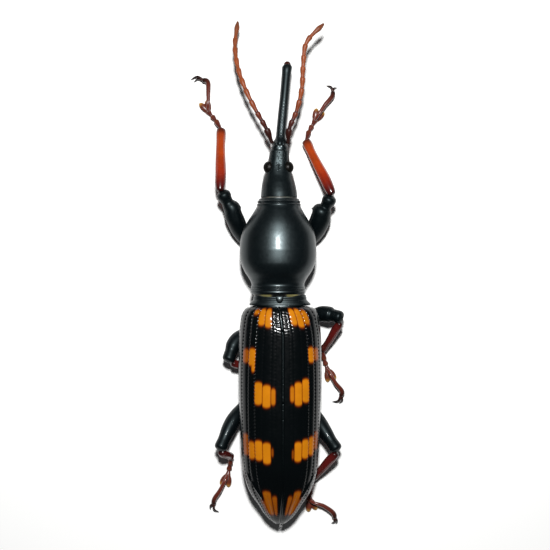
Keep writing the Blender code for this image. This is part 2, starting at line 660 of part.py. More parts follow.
def make_coxa(name, hip, outward):
    line = (hip - outward * COXA_RADIUS, hip, hip + outward * COXA_REACH)
    stations, parts = np.array(COXA_SHAPE).T
    limb(f"coxa_{name}", line, stations, parts * COXA_RADIUS, 10, "black shell", round_ends=(True, False))


def make_femur(name, line):
    """A club with a round knee. The front pair has a small tooth on its inner side."""
    pair, side = name.split("_")
    knee_radius = KNEE_RADII[pair]
    stations, parts = np.array(FEMUR_SHAPE).T
    back, knee_parts = np.array(KNEE_SHAPE).T
    length = np.linalg.norm(np.diff(line, axis=0), axis=1).sum()
    radii = np.concatenate([FEMUR_ROOT_RADII, parts * FEMUR_RADII[pair], knee_parts * knee_radius])
    stations = np.concatenate([FEMUR_ROOT_STATIONS, stations, 1 - back * knee_radius / length])
    inner_side = 0 if side == "left" else 5
    tooth = (FEMUR_TOOTH_RING, inner_side, FEMUR_TOOTH_HEIGHT) if pair == "front" else None
    limb(f"femur_{name}", line, stations, radii, 10, "black shell", round_ends=(False, True), tooth=tooth)


def make_tibia(name, upper, ankle):
    """A nearly straight shin, a little wider at its lower end."""
    middle = (upper + ankle) / 2 + np.array((0, 0, TIBIA_RISE))
    stations, parts = np.array(TIBIA_SHAPE).T
    radii = parts * TIBIA_RADII[name.split("_")[0]]
    colour = "red orange" if name.startswith("front") else "dark red"
    limb(f"tibia_{name}", (upper, middle, ankle), stations, radii, 9, colour, round_ends=(False, False))


def make_tarsus(name, ankle, toe, hook, down):
    """Two short segments and a third with two pads, all cut flat where they stand."""
    ahead = unit((toe - ankle) * (1, 1, 0))
    heel = ankle + down * GAP + ahead * GAP
    heel[2] = max(heel[2], HEEL_LEAST_Z)
    middle = (heel + toe) / 2
    middle[2] = toe[2]
    stations, parts = np.array(TARSUS_SHAPE).T
    tarsus = limb(
        f"tarsus_{name}", (heel, middle, toe + ahead * GAP), stations, parts * TARSUS_RADIUS, 8, "dark red",
        flatness=0.92, round_ends=(False, False),
    )
    onward = ahead * (2 - TOE_LOBE_TURN) + unit((hook - toe) * (1, 1, 0)) * TOE_LOBE_TURN
    heading = math.atan2(onward[1], onward[0])
    lobes = []
    for lobe_heading in (heading - TOE_LOBE_SPREAD, heading + TOE_LOBE_SPREAD):
        centre = toe + np.array((math.cos(lobe_heading), math.sin(lobe_heading), 0)) * TOE_LOBE_REACH
        centre[2] = TOE_LOBE_Z
        lobes.append(ball("lobe", centre, TOE_LOBE_HALF_SIZES, "dark red", sides=8, heading=lobe_heading))
    combine(tarsus, lobes, "UNION")
    cut_level(tarsus)


def make_claws(name, toe, hook, tips):
    """The long last segment, arched up from between the pads, and its two hooked claws."""
    ahead = unit((hook - toe) * (1, 1, 0))
    root = toe + ahead * CLAW_SEGMENT_ROOT
    root[2] = CLAW_SEGMENT_ROOT_Z
    bend = abs(np.cross(ahead, (0, 0, 1))) * CLAW_SEGMENT_BENDS.get(name, 0)
    rise = (root + hook) / 2 + bend + np.array((0, 0, CLAW_SEGMENT_RISE))
    stations, parts = np.array(CLAW_SEGMENT_SHAPE).T
    segment = limb(f"claws_{name}", (root, rise, hook), stations, parts * CLAW_SEGMENT_RADIUS, 8, "dark red")
    claws = []
    for tip in np.array(tips):
        aside = np.cross(tip - hook, (0, 0, 1)) * CLAW_BOW
        aside *= np.sign(np.dot(aside, ahead))
        line = (hook, (hook + tip) / 2 + aside + np.array((0, 0, CLAW_RISE)), tip)
        stations, radii = np.array(CLAW_SHAPE).T
        claws.append(limb("claw", line, stations, radii, 7, "claw"))
    combine(segment, claws, "UNION")


def centre_on_box():
    """Moves every mesh so that the model's box is centred on the origin in x and y."""
    things = [thing for thing in bpy.data.objects if thing.type == "MESH"]
    corners = np.array([vertex.co[:2] for thing in things for vertex in thing.data.vertices])
    middle = (corners.min(axis=0) + corners.max(axis=0)) / 2
    for thing in things:
        points = np.empty(len(thing.data.vertices) * 3)
        thing.data.vertices.foreach_get("co", points)
        points = points.reshape(-1, 3)
        points[:, :2] -= middle
        thing.data.vertices.foreach_set("co", points.reshape(-1))
        thing.data.update()


def main():
    for thing in list(bpy.data.objects):
        bpy.data.objects.remove(thing)
    make_snout()
    make_head()
    make_prothorax()
    make_mesothorax()
    make_metathorax()
    make_abdomen()
    make_wing_case("left", 1)
    make_wing_case("right", -1)
    for name, line in ANTENNA_LINES.items():
        make_antenna(name, line)
    for name, joints in LEGS.items():
        make_leg(name, joints)
    centre_on_box()


main()
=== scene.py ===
import math

import bpy
import numpy as np
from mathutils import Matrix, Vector


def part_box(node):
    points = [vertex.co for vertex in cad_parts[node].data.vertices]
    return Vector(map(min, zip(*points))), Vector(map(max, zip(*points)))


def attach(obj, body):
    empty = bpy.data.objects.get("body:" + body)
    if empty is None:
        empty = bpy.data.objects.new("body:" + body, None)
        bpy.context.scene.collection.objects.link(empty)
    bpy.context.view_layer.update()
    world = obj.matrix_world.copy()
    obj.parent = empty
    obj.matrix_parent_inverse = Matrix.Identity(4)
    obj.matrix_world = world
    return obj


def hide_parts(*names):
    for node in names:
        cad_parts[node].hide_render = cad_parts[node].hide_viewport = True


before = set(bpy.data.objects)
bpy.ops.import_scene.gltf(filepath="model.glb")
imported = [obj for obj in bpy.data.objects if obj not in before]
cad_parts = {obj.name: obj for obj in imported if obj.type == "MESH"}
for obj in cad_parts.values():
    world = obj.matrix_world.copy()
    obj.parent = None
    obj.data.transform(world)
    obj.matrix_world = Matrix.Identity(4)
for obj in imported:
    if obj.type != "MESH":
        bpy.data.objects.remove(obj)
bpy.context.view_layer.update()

mm = 0.001
full = math.tau
rng = np.random.default_rng(7)

# All shapes below are worked out in millimetres with y = 0 at the base of the wing cases, z = 0 on the floor,
# the head towards -Y and the beetle's left at +X. partShift brings them to where the CAD part lies.
leftLow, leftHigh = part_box("elytron_left")
rightLow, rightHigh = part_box("elytron_right")
bodyMiddle = -0.08  # x of the wing cases' middle
partShift = np.array([(leftHigh.x + rightLow.x) / 2 / mm - bodyMiddle, leftLow.y / mm, 0.0])


def smoothCurve(knots, values, keepShape=True):
    # Cubic pieces through the values. A knot's slope is the mean of the slopes beside it, each weighted by
    # the other's span. With keepShape it is held to three times the flatter one, so no value is overshot.
    knots, values = np.asarray(knots, float), np.asarray(values, float)
    spans = np.diff(knots) if values.ndim == 1 else np.diff(knots)[:, None]
    rises = np.diff(values, axis=0) / spans
    inner = (rises[:-1] * spans[1:] + rises[1:] * spans[:-1]) / (spans[:-1] + spans[1:])
    if keepShape:
        steepest = 3 * np.minimum(abs(rises[:-1]), abs(rises[1:]))
        inner = np.where(rises[:-1] * rises[1:] <= 0, 0, np.clip(inner, -steepest, steepest))
    slopes = np.concatenate([rises[:1], inner, rises[-1:]])

    def at(place):
        place = np.atleast_1d(np.asarray(place, float))
        row = np.clip(np.searchsorted(knots, place, side="right") - 1, 0, len(knots) - 2)
        width = knots[row + 1] - knots[row]
        t = np.clip((place - knots[row]) / width, 0, 1)
        if values.ndim > 1:
            t, width = t[:, None], width[:, None]
        ends = (1 + 2 * t) * (1 - t) ** 2 * values[row] + t * t * (3 - 2 * t) * values[row + 1]
        return ends + t * (1 - t) ** 2 * width * slopes[row] - t * t * (1 - t) * width * slopes[row + 1]

    return at


def tableCurve(table, column=1):
    # The curve through one column of a table whose first column is the place
    columns = list(zip(*table))
    return smoothCurve(columns[0], columns[column])


def smoothStep(value, low, high):
    # 3t^2 - 2t^3, with t the value's share of the way from low to high
    t = np.clip((value - low) / (high - low), 0, 1)
    return t * t * (3 - 2 * t)


def hump(value, middle, width):
    # e to the minus square of the distance over the width
    return np.exp(-(((value - middle) / width) ** 2))


def turns(count):
    # Angles evenly round: full turn * number / count
    return np.arange(count) * full / count


def crowdedPlaces(low, high, count, marks, width, gain):
    # Places whose spacing shrinks near the marks: the running sum of 1 + gain * hump is split evenly.
    fine = np.linspace(low, high, 4000)
    density = 1 + gain * sum(hump(fine, mark, width) for mark in marks)
    total = np.concatenate([[0], np.cumsum((density[1:] + density[:-1]) / 2)])
    return np.interp(np.linspace(0, total[-1], count), total, fine)


def outward(grid, closed=True):
    # Cross product of the steps along and round the grid, one long and turned away from the rows' middles
    along = np.gradient(grid, axis=0)
    around = np.roll(grid, -1, 1) - np.roll(grid, 1, 1) if closed else np.gradient(grid, axis=1)
    normal = np.cross(along, around)
    normal /= np.maximum(np.linalg.norm(normal, axis=2, keepdims=True), 1e-9)
    away = grid - grid.mean(axis=1, keepdims=True)
    return normal if (normal * away).sum() > 0 else -normal


def addLip(grid, atEnd, steps):
    # Rows added past an end: each is the end row drawn in to its middle by a scale and moved along y.
    rim = grid[-1] if atEnd else grid[0]
    middle = rim.mean(axis=0)
    rows = np.array([middle + (rim - middle) * (scale, 1, scale) + (0, move, 0) for scale, move in steps])
    return np.concatenate([grid, rows]) if atEnd else np.concatenate([rows[::-1], grid])


def patch(grid, tone=0.0, finish=0, caps=None):
    # A closed surface over a grid whose columns run round. Each end runs to a pole, or has the faces in caps.
    rows, columns = grid.shape[:2]
    index = np.arange(rows * columns).reshape(rows, columns)
    right = np.roll(index, -1, axis=1)
    faces = [np.stack([index[:-1], right[:-1], right[1:], index[1:]], axis=-1).reshape(-1, 4)]
    points = grid.reshape(-1, 3)
    tones = np.broadcast_to(np.asarray(tone, float), (rows, columns)).reshape(-1)
    if caps is None:
        first = np.full(columns, rows * columns)
        faces.append(np.stack([right[0], index[0], first], axis=-1))
        faces.append(np.stack([index[-1], right[-1], first + 1], axis=-1))
        points = np.concatenate([points, grid[0].mean(axis=0)[None], grid[-1].mean(axis=0)[None]])
        tones = np.concatenate([tones, [tones[0], tones[-1]]])
    else:
        faces.extend(caps)
    fans = [face[:, [0, corner, corner + 1]] for face in faces for corner in range(1, face.shape[1] - 1)]
    corners = points[np.concatenate(fans)] - points.mean(axis=0)
    if np.einsum("ij,ij->", corners[:, 0], np.cross(corners[:, 1], corners[:, 2])) < 0:
        faces = [face[:, ::-1] for face in faces]
    return {"points": points, "faces": faces, "tones": tones, "finish": finish}


def bristles(roots, directions, lengths, radius, bend=0.25, finish=1):
    # Each hair is a three-sided cone: root + direction * L * t + down * bend * L * t^2, thinning as 1 - t.
    roots, directions = np.asarray(roots, float), np.asarray(directions, float)
    directions = directions / np.linalg.norm(directions, axis=1, keepdims=True)
    count = len(roots)
    lengths = np.broadcast_to(lengths, (count,))[:, None]
    side = np.cross(directions, (0.31, 0.17, 0.93))
    side /= np.linalg.norm(side, axis=1, keepdims=True)
    other = np.cross(directions, side)
    sag = np.array([0, 0, -bend])
    rings = []
    for t in (0.0, 0.5):
        middle = roots + directions * lengths * t + sag * lengths * t * t
        for turn in (0, full / 3, 2 * full / 3):
            rings.append(middle + (side * math.cos(turn) + other * math.sin(turn)) * radius * (1 - 0.55 * t))
    rings.append(roots + directions * lengths + sag * lengths)
    points = np.stack(rings, axis=1).reshape(-1, 3)
    start = (np.arange(count) * 7)[:, None]
    quads = np.concatenate([start + row for row in ((0, 1, 4, 3), (1, 2, 5, 4), (2, 0, 3, 5))])
    triangles = np.concatenate([start + row for row in ((3, 4, 6), (4, 5, 6), (5, 3, 6), (2, 1, 0))])
    points[:, 2] = np.maximum(points[:, 2], 0.01)
    return {"points": points, "faces": [quads, triangles], "tones": np.zeros(len(points)), "finish": finish}


def buildPiece(name, patches, finishes, nodes):
    # All patches as one mesh, whose "tone" attribute steers its colour. It rides on the one body.
    points, tones, loops, sizes, finishOf = [], [], [], [], []
    offset = 0
    for part in patches:
        points.append(part["points"])
        tones.append(part["tones"])
        for face in part["faces"]:
            loops.append((face + offset).reshape(-1))
            sizes.append(np.full(len(face), face.shape[1]))
            finishOf.append(np.full(len(face), part["finish"]))
        offset += len(part["points"])
    points = (np.concatenate(points) + partShift) * mm
    loops, sizes, finishOf = np.concatenate(loops), np.concatenate(sizes), np.concatenate(finishOf)
    mesh = bpy.data.meshes.new(name)
    mesh.vertices.add(len(points))
    mesh.vertices.foreach_set("co", points.astype(np.float32).reshape(-1))
    mesh.loops.add(len(loops))
    mesh.loops.foreach_set("vertex_index", loops.astype(np.int32))
    mesh.polygons.add(len(sizes))
    mesh.polygons.foreach_set("loop_start", np.concatenate([[0], np.cumsum(sizes)[:-1]]).astype(np.int32))
    for finish in finishes:
        mesh.materials.append(finish)
    mesh.polygons.foreach_set("material_index", finishOf.astype(np.int32))
    mesh.update(calc_edges=True)
    mesh.validate()
    mesh.shade_smooth()
    toneLayer = mesh.attributes.new("tone", "FLOAT", "POINT")
    toneLayer.data.foreach_set("value", np.concatenate(tones).astype(np.float32))
    piece = bpy.data.objects.new(name, mesh)
    bpy.context.scene.collection.objects.link(piece)
    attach(piece, "root")
    if nodes:
        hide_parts(*nodes)


def makeFinish(look):
    # One Principled surface. The tone attribute runs through a colour ramp, cloudy noise darkens it a little,
    # a finer noise varies the gloss, and small pits and grain are a bump.
    material = bpy.data.materials.new(look["name"])
    material.use_nodes = True
    nodes, links = material.node_tree.nodes, material.node_tree.links
    shader = nodes["Principled BSDF"]
    place = nodes.new("ShaderNodeTexCoord").outputs["Object"]

    def noise(scale, detail):
        node = nodes.new("ShaderNodeTexNoise")
        node.inputs["Scale"].default_value = scale
        node.inputs["Detail"].default_value = detail
        links.new(place, node.inputs["Vector"])
        return node.outputs["Fac"]

    def spread(source, low, high):
        node = nodes.new("ShaderNodeMapRange")
        node.inputs["From Min"].default_value, node.inputs["From Max"].default_value = 0.3, 0.7
        node.inputs["To Min"].default_value, node.inputs["To Max"].default_value = low, high
        links.new(source, node.inputs["Value"])
        return node.outputs["Result"]

    tone = nodes.new("ShaderNodeAttribute")
    tone.attribute_name = "tone"
    ramp = nodes.new("ShaderNodeValToRGB")
    while len(ramp.color_ramp.elements) < len(look["colours"]):
        ramp.color_ramp.elements.new(1.0)
    for stop, (position, colour) in zip(ramp.color_ramp.elements, look["colours"]):
        stop.position = position
        stop.color = (*colour, 1)
    links.new(tone.outputs["Fac"], ramp.inputs["Fac"])
    shade = nodes.new("ShaderNodeMix")
    shade.data_type = "RGBA"
    shade.blend_type = "MULTIPLY"
    shade.inputs[0].default_value = 1.0
    cloud = noise(look["cloudScale"], 4)
    dim = nodes.new("ShaderNodeCombineColor")
    for channel in dim.inputs:
        links.new(spread(cloud, 1 - look["cloudDepth"], 1.0), channel)
    links.new(ramp.outputs["Color"], shade.inputs[6])
    links.new(dim.outputs["Color"], shade.inputs[7])
    links.new(shade.outputs[2], shader.inputs["Base Color"])
    low, high = look["roughness"]
    links.new(spread(noise(look["grainScale"] * 0.3, 5), low, high), shader.inputs["Roughness"])
    shader.inputs["IOR"].default_value = look["ior"]
    shader.inputs["Coat Weight"].default_value = look["coat"]
    shader.inputs["Coat Roughness"].default_value = look["coatRoughness"]
    shader.inputs["Specular IOR Level"].default_value = look["specular"]
    shader.inputs["Specular Tint"].default_value = (*look["shine"], 1)
    shader.inputs["Subsurface Weight"].default_value = look["glow"]
    shader.inputs["Subsurface Scale"].default_value = look["glowReach"]
    grain = nodes.new("ShaderNodeBump")
    grain.inputs["Strength"].default_value = look["grain"]
    grain.inputs["Distance"].default_value = look["grainHeight"]
    links.new(noise(look["grainScale"], 6), grain.inputs["Height"])
    pits = nodes.new("ShaderNodeTexVoronoi")
    pits.inputs["Scale"].default_value = look["pitScale"]
    links.new(place, pits.inputs["Vector"])
    cup = nodes.new("ShaderNodeMapRange")
    cup.inputs["From Min"].default_value = look["pitFloor"]
    cup.inputs["From Max"].default_value = look["pitSize"]
    cup.interpolation_type = "SMOOTHSTEP"
    links.new(pits.outputs["Distance"], cup.inputs["Value"])
    dent = nodes.new("ShaderNodeBump")
    dent.inputs["Strength"].default_value = look["pits"]
    if look["pitsFollowTone"]:
        depth = nodes.new("ShaderNodeMath")
        depth.operation = "MULTIPLY"
        depth.inputs[1].default_value = look["pits"]
        links.new(tone.outputs["Fac"], depth.inputs[0])
        links.new(depth.outputs["Value"], dent.inputs["Strength"])
    dent.inputs["Distance"].default_value = look["pitHeight"]
    links.new(cup.outputs["Result"], dent.inputs["Height"])
    links.new(grain.outputs["Normal"], dent.inputs["Normal"])
    links.new(dent.outputs["Normal"], shader.inputs["Normal"])
    return material


shellBlack = (0.0012, 0.0026, 0.0034)
plainLook = {  # what a finish takes where its own look says nothing
    "shine": (1, 1, 1), "specular": 0.5, "ior": 1.56, "coat": 0.0, "coatRoughness": 0.08,
    "glow": 0.0, "glowReach": 0.0004, "cloudScale": 900, "cloudDepth": 0.3, "roughness": (0.2, 0.3),
    "grainScale": 9000, "grain": 0.14, "grainHeight": 0.00002, "pitScale": 5000, "pits": 0.1, "pitSize": 0.3,
    "pitFloor": 0.05, "pitHeight": 0.00003, "pitsFollowTone": False,
}
shellLook = {
    "colours": ((0.0, shellBlack), (1.0, shellBlack)), "shine": (0.80, 1.0, 1.04), "specular": 0.33,
    "cloudScale": 420, "roughness": (0.32, 0.40), "grain": 0.16, "pitScale": 5200, "pits": 0.14,
    "pitSize": 0.28,
}
shinLook = {
    "specular": 0.25, "coat": 0.10, "cloudScale": 700, "grainScale": 8000, "pitScale": 2600, "pits": 0.22,
    "pitSize": 0.2,
}
looks = {
    "satin": {
        **shellLook, "name": "satinShell", "colours": ((0.0, shellBlack), (1.0, (0.018, 0.008, 0.005))),
        "grain": 0.14, "coat": 0.12, "coatRoughness": 0.16,
    },
    "limb": {
        **shellLook, "name": "dullThigh", "roughness": (0.36, 0.46), "specular": 0.16, "coat": 0.05,
        "coatRoughness": 0.05,
    },
    "punctate": {
        **shellLook, "name": "pittedShell", "cloudScale": 500, "pitScale": 3400, "pits": 0.9, "pitSize": 0.36,
        "pitsFollowTone": True, "coat": 0.06, "coatRoughness": 0.1,
    },
    "gloss": {
        "name": "glossyWingCase",
        "colours": (
            (0.0, (0.0010, 0.0020, 0.0024)), (0.22, (0.0088, 0.0023, 0.0012)), (0.45, (0.066, 0.0088, 0.0012)),
            (0.70, (0.277, 0.061, 0.0018)), (0.88, (0.496, 0.155, 0.0032)), (1.0, (0.569, 0.190, 0.0044)),
        ),
        "cloudScale": 520, "cloudDepth": 0.16, "roughness": (0.16, 0.22), "grainScale": 7000, "grain": 0.08,
        "specular": 0.2, "pitScale": 3000, "pitSize": 0.22, "coat": 0.20, "coatRoughness": 0.05,
    },
    "redOrange": {
        **shinLook, "name": "redOrangeShin", "glow": 0.03,
        "colours": (
            (0.0, (0.018, 0.0029, 0.0029)), (0.10, (0.102, 0.0073, 0.0058)), (0.30, (0.292, 0.023, 0.0058)),
            (0.60, (0.394, 0.050, 0.0073)), (0.88, (0.330, 0.042, 0.0073)), (0.94, (0.130, 0.020, 0.0070)),
            (1.0, (0.035, 0.008, 0.0060)),
        ),
    },
    "darkRed": {
        **shinLook, "name": "darkRedShin", "glow": 0.02,
        "colours": (
            (0.0, (0.015, 0.0029, 0.0029)), (0.12, (0.085, 0.0080, 0.0070)), (0.45, (0.105, 0.0088, 0.0073)),
            (0.85, (0.073, 0.012, 0.0088)), (1.0, (0.029, 0.0073, 0.0058)),
        ),
    },
    "feeler": {
        "name": "brownFeeler",
        "colours": (
            (0.0, (0.016, 0.0050, 0.0040)), (0.13, (0.045, 0.0090, 0.0060)), (0.20, (0.110, 0.018, 0.0090)),
            (0.36, (0.300, 0.064, 0.016)), (0.8, (0.280, 0.066, 0.020)), (1.0, (0.175, 0.058, 0.026)),
        ),
        "specular": 0.2, "roughness": (0.34, 0.42), "grain": 0.3, "pits": 0.4, "glow": 0.02,
    },
    "foot": {
        "name": "maroonFoot",
        "colours": (
            (0.0, (0.044, 0.010, 0.0073)), (0.35, (0.110, 0.020, 0.013)), (0.6, (0.161, 0.044, 0.018)),
            (0.8, (0.321, 0.139, 0.032)), (1.0, (0.584, 0.365, 0.088)),
        ),
        "specular": 0.3, "cloudDepth": 0.35, "roughness": (0.24, 0.34), "grainScale": 8000, "grain": 0.3,
        "pits": 0.4, "glow": 0.02,
    },
    "claw": {
        "name": "blackClaw",
        "colours": (
            (0.0, (0.146, 0.026, 0.015)), (0.3, (0.073, 0.016, 0.010)), (0.55, (0.020, 0.0073, 0.0058)),
            (1.0, (0.0058, 0.0044, 0.0044)),
        ),
        "specular": 0.3, "cloudDepth": 0.2, "grainScale": 7000, "grain": 0.1, "pitScale": 4000, "pitSize": 0.2,
        "coat": 0.2,
    },
    "eye": {
        "name": "facetedEye", "colours": ((0.0, (0.0029, 0.0029, 0.0029)), (1.0, (0.0073, 0.0058, 0.0044))),
        "specular": 0.10, "cloudScale": 1500, "cloudDepth": 0.35, "roughness": (0.26, 0.34), "grain": 0.05,
        "pitScale": 20000, "pits": 0.2, "pitSize": 0.5,
    },
    "hair": {
        "name": "goldenHair", "colours": ((0.0, (0.146, 0.080, 0.026)), (1.0, (0.190, 0.110, 0.036))),
        "cloudScale": 1500, "roughness": (0.4, 0.55), "grain": 0.0, "pitScale": 4000, "pits": 0.0,
    },
    # the joint skins' finish runs from dark through grey to cream; its pale end also serves as a painted
    # highlight on the skins' tops
    "membrane": {
        "name": "creamMembraneAndHighlight",
        "colours": (
            (0.0, (0.0044, 0.0058, 0.0044)), (0.5, (0.085, 0.090, 0.076)), (1.0, (0.380, 0.336, 0.131)),
        ),
        "cloudScale": 1300, "roughness": (0.35, 0.5), "grainScale": 6000, "grain": 0.4, "pitScale": 4000,
        "glow": 0.1,
    },
}
finishes = {key: makeFinish({**plainLook, **look}) for key, look in looks.items()}
print("finishes ready")


bodyShape = {
    "squareness": 2.1,  # 2 is an ellipse
    "widestShare": 0.45,  # level of the greatest width, as a share of the height
}


def ringGrid(y, columns, squareness, middle, halfWidth, top, widest, bottom):
    # A ring at each y: x = middle + halfWidth * c, z = widest + (top - widest) * s above and
    # widest + (widest - bottom) * s below, with c and s the cosine and sine to the power 2 / squareness.
    angle = turns(columns) + full / 4
    c, s = (np.sign(part) * abs(part) ** (2 / squareness) for part in (np.cos(angle), np.sin(angle)))
    x = middle + halfWidth * c
    z = widest + (top - widest) * np.maximum(s, 0) + (widest - bottom) * np.minimum(s, 0)
    return np.stack([x, np.broadcast_to(y[:, None], x.shape), z], axis=-1)


def bodyGrid(table, y, columns):
    # Rings read from a table of half width, top, bottom and middle, widest at a share of their height
    halfWidth, top, bottom, middle = (tableCurve(table, k)(y)[:, None] for k in (1, 2, 3, 4))
    widest = bottom + bodyShape["widestShare"] * (top - bottom)
    return ringGrid(y, columns, bodyShape["squareness"], middle, halfWidth, top, widest, bottom)


snout = {
    "sections": (  # y, half width, top, bottom, middle x
        (-31.30, 0.50, 4.72, 3.85, -1.03), (-31.00, 0.66, 4.82, 3.78, -1.00), (-30.20, 0.62, 4.92, 3.84, -0.93),
        (-28.00, 0.60, 5.18, 4.04, -0.74), (-24.00, 0.62, 5.56, 4.38, -0.36), (-22.20, 0.62, 5.67, 4.48, -0.20),
        (-21.60, 0.72, 5.80, 4.44, -0.15), (-20.95, 1.10, 6.12, 4.40, -0.06), (-20.30, 1.10, 6.20, 4.34, -0.03),
    ),
    "rows": 300, "columns": 96, "scrobes": ((0.92, -20.95, 5.42), (-1.12, -20.95, 5.44)),
    "scrobeSize": 0.34, "scrobeDepth": 0.24, "bossAside": 0.47, "bossPlace": (-20.82, 6.10), "bossSize": 0.25,
    "bossHeight": 0.19, "bossMiddle": -0.06, "dimple": (0.22, 0.09),  # dimple: size, depth
    "points": (0.42, 5, 0.035, 0.075), "pointsFrom": -27.5,  # spacing, rows, depth, size
    "jawSpread": (0.17, 0.20, 0.03), "jawAhead": (-0.25, 0.10, 0.49), "jawRadii": (0.25, 0.24, 0.07),
}
head = {
    "sections": (
        (-20.00, 1.24, 6.28, 4.28, 0.00), (-19.10, 1.34, 6.41, 4.20, 0.05), (-17.86, 1.58, 6.58, 4.05, 0.12),
        (-16.90, 1.84, 6.80, 3.92, 0.12), (-15.80, 2.14, 7.26, 3.68, 0.10), (-14.70, 2.31, 7.61, 3.50, 0.05),
        (-14.05, 2.36, 7.75, 3.46, 0.04),
    ),
    "rows": 210, "columns": 160,
    "eyeCentre": (0.12, -17.86, 5.62), "eyeSpread": 1.20, "eyeHalfSizes": (0.76, 0.82, 0.72),
    "eyeRows": 110, "eyeColumns": 150, "waveCount": 24, "facetHeight": 0.006, "middleX": 0.05,
    "orbitDepth": 0.06, "orbitPlace": 1.06, "orbitWidth": 0.13,  # place and width in eye half sizes
    "browDepth": 0.06, "browWidth": 0.5, "browSpan": (-18.2, -17.0),
    "pitLine": (0.05, 0.07, -18.0, 0.55),  # depth, half width, y, reach along y
    "roughSpan": (-18.4, -16.6), "roughLeast": 0.12,
    "frontLip": ((0.965, -0.08), (0.92, -0.13), (0.86, -0.15), (0.8, 0.3)),
    "backLip": ((0.985, 0.05), (0.94, 0.08), (0.87, 0.5)),
}
prothorax = {
    "sections": (
        (-13.75, 2.60, 7.92, 3.22, 0.06), (-13.30, 2.76, 8.02, 3.10, 0.06), (-12.85, 2.84, 8.14, 3.02, 0.08),
        (-12.16, 3.21, 8.44, 2.86, 0.10), (-11.02, 3.90, 8.88, 2.60, 0.13), (-9.70, 4.59, 9.20, 2.36, 0.15),
        (-8.04, 4.90, 9.44, 2.20, 0.17), (-7.06, 4.94, 9.54, 2.18, 0.17), (-5.57, 4.79, 9.50, 2.24, 0.17),
        (-4.41, 4.30, 9.12, 2.44, 0.18), (-3.42, 3.66, 8.50, 2.74, 0.19), (-2.75, 3.40, 8.22, 2.92, 0.19),
        (-2.09, 3.56, 8.32, 2.84, 0.19), (-1.54, 3.44, 8.16, 2.94, 0.18),
    ),
    "rows": 320, "columns": 220,
    "collarRings": ((-13.45, 0.09, 0.08), (-13.05, 0.05, 0.07), (-13.24, -0.05, 0.05)),  # y, height, width
    "baseRings": (
        (-2.50, 0.05, 0.07), (-2.18, 0.06, 0.07), (-1.78, 0.06, 0.09), (-2.34, -0.035, 0.05),
        (-1.98, -0.04, 0.06),
    ),
    "middleX": 0.17, "middleDip": 0.02, "dipWidth": 0.10, "dipPlace": -4.6, "dipReach": 1.6,
    "frontLip": ((0.985, -0.05), (0.95, -0.08), (0.92, -0.03), (0.90, 0.4)),
    "backLip": ((0.985, 0.03), (0.955, 0.04), (0.93, 0.0), (0.91, -0.3)),
    # joint skins: three sections of each, the x between its pale parts, and how pale it is. The pale band on
    # each top is partly the skin's own colour and partly painted highlight.
    "skins": {
        "neckSkin": ((
            (-14.12, 2.22, 7.58, 3.6, 0.04), (-13.90, 2.31, 7.70, 3.5, 0.04),
            (-13.64, 2.22, 7.58, 3.6, 0.04),
        ), 0, 0.42),
        "waistSkin": ((
            (-1.74, 3.20, 7.86, 3.1, 0.1), (-1.50, 3.33, 8.00, 3.05, 0.08), (-1.22, 3.2, 7.6, 3.1, 0.05),
        ), 1.9, 1.0),
    },
    "skinRows": 24, "skinWave": 0.012,
}


def pointRows(grid, y, spacing, count, depth, size, run):
    # Rows of small points: each is e^-(distance / size)^2, at even steps along y and round the upper side
    relief = np.zeros(grid.shape[:2])
    columns = grid.shape[1]
    for number in range(count):
        column = round((number - (count - 1) / 2) * columns / 34) % columns
        aside = np.linalg.norm(grid[:, :, [0, 2]] - grid[:, [column]][:, :, [0, 2]], axis=2)
        step = ((y / spacing + 0.5 * (number % 2)) % 1 - 0.5) * spacing
        relief -= depth * hump(aside, 0, size) * (hump(step, 0, size) * run)[:, None]
    return relief


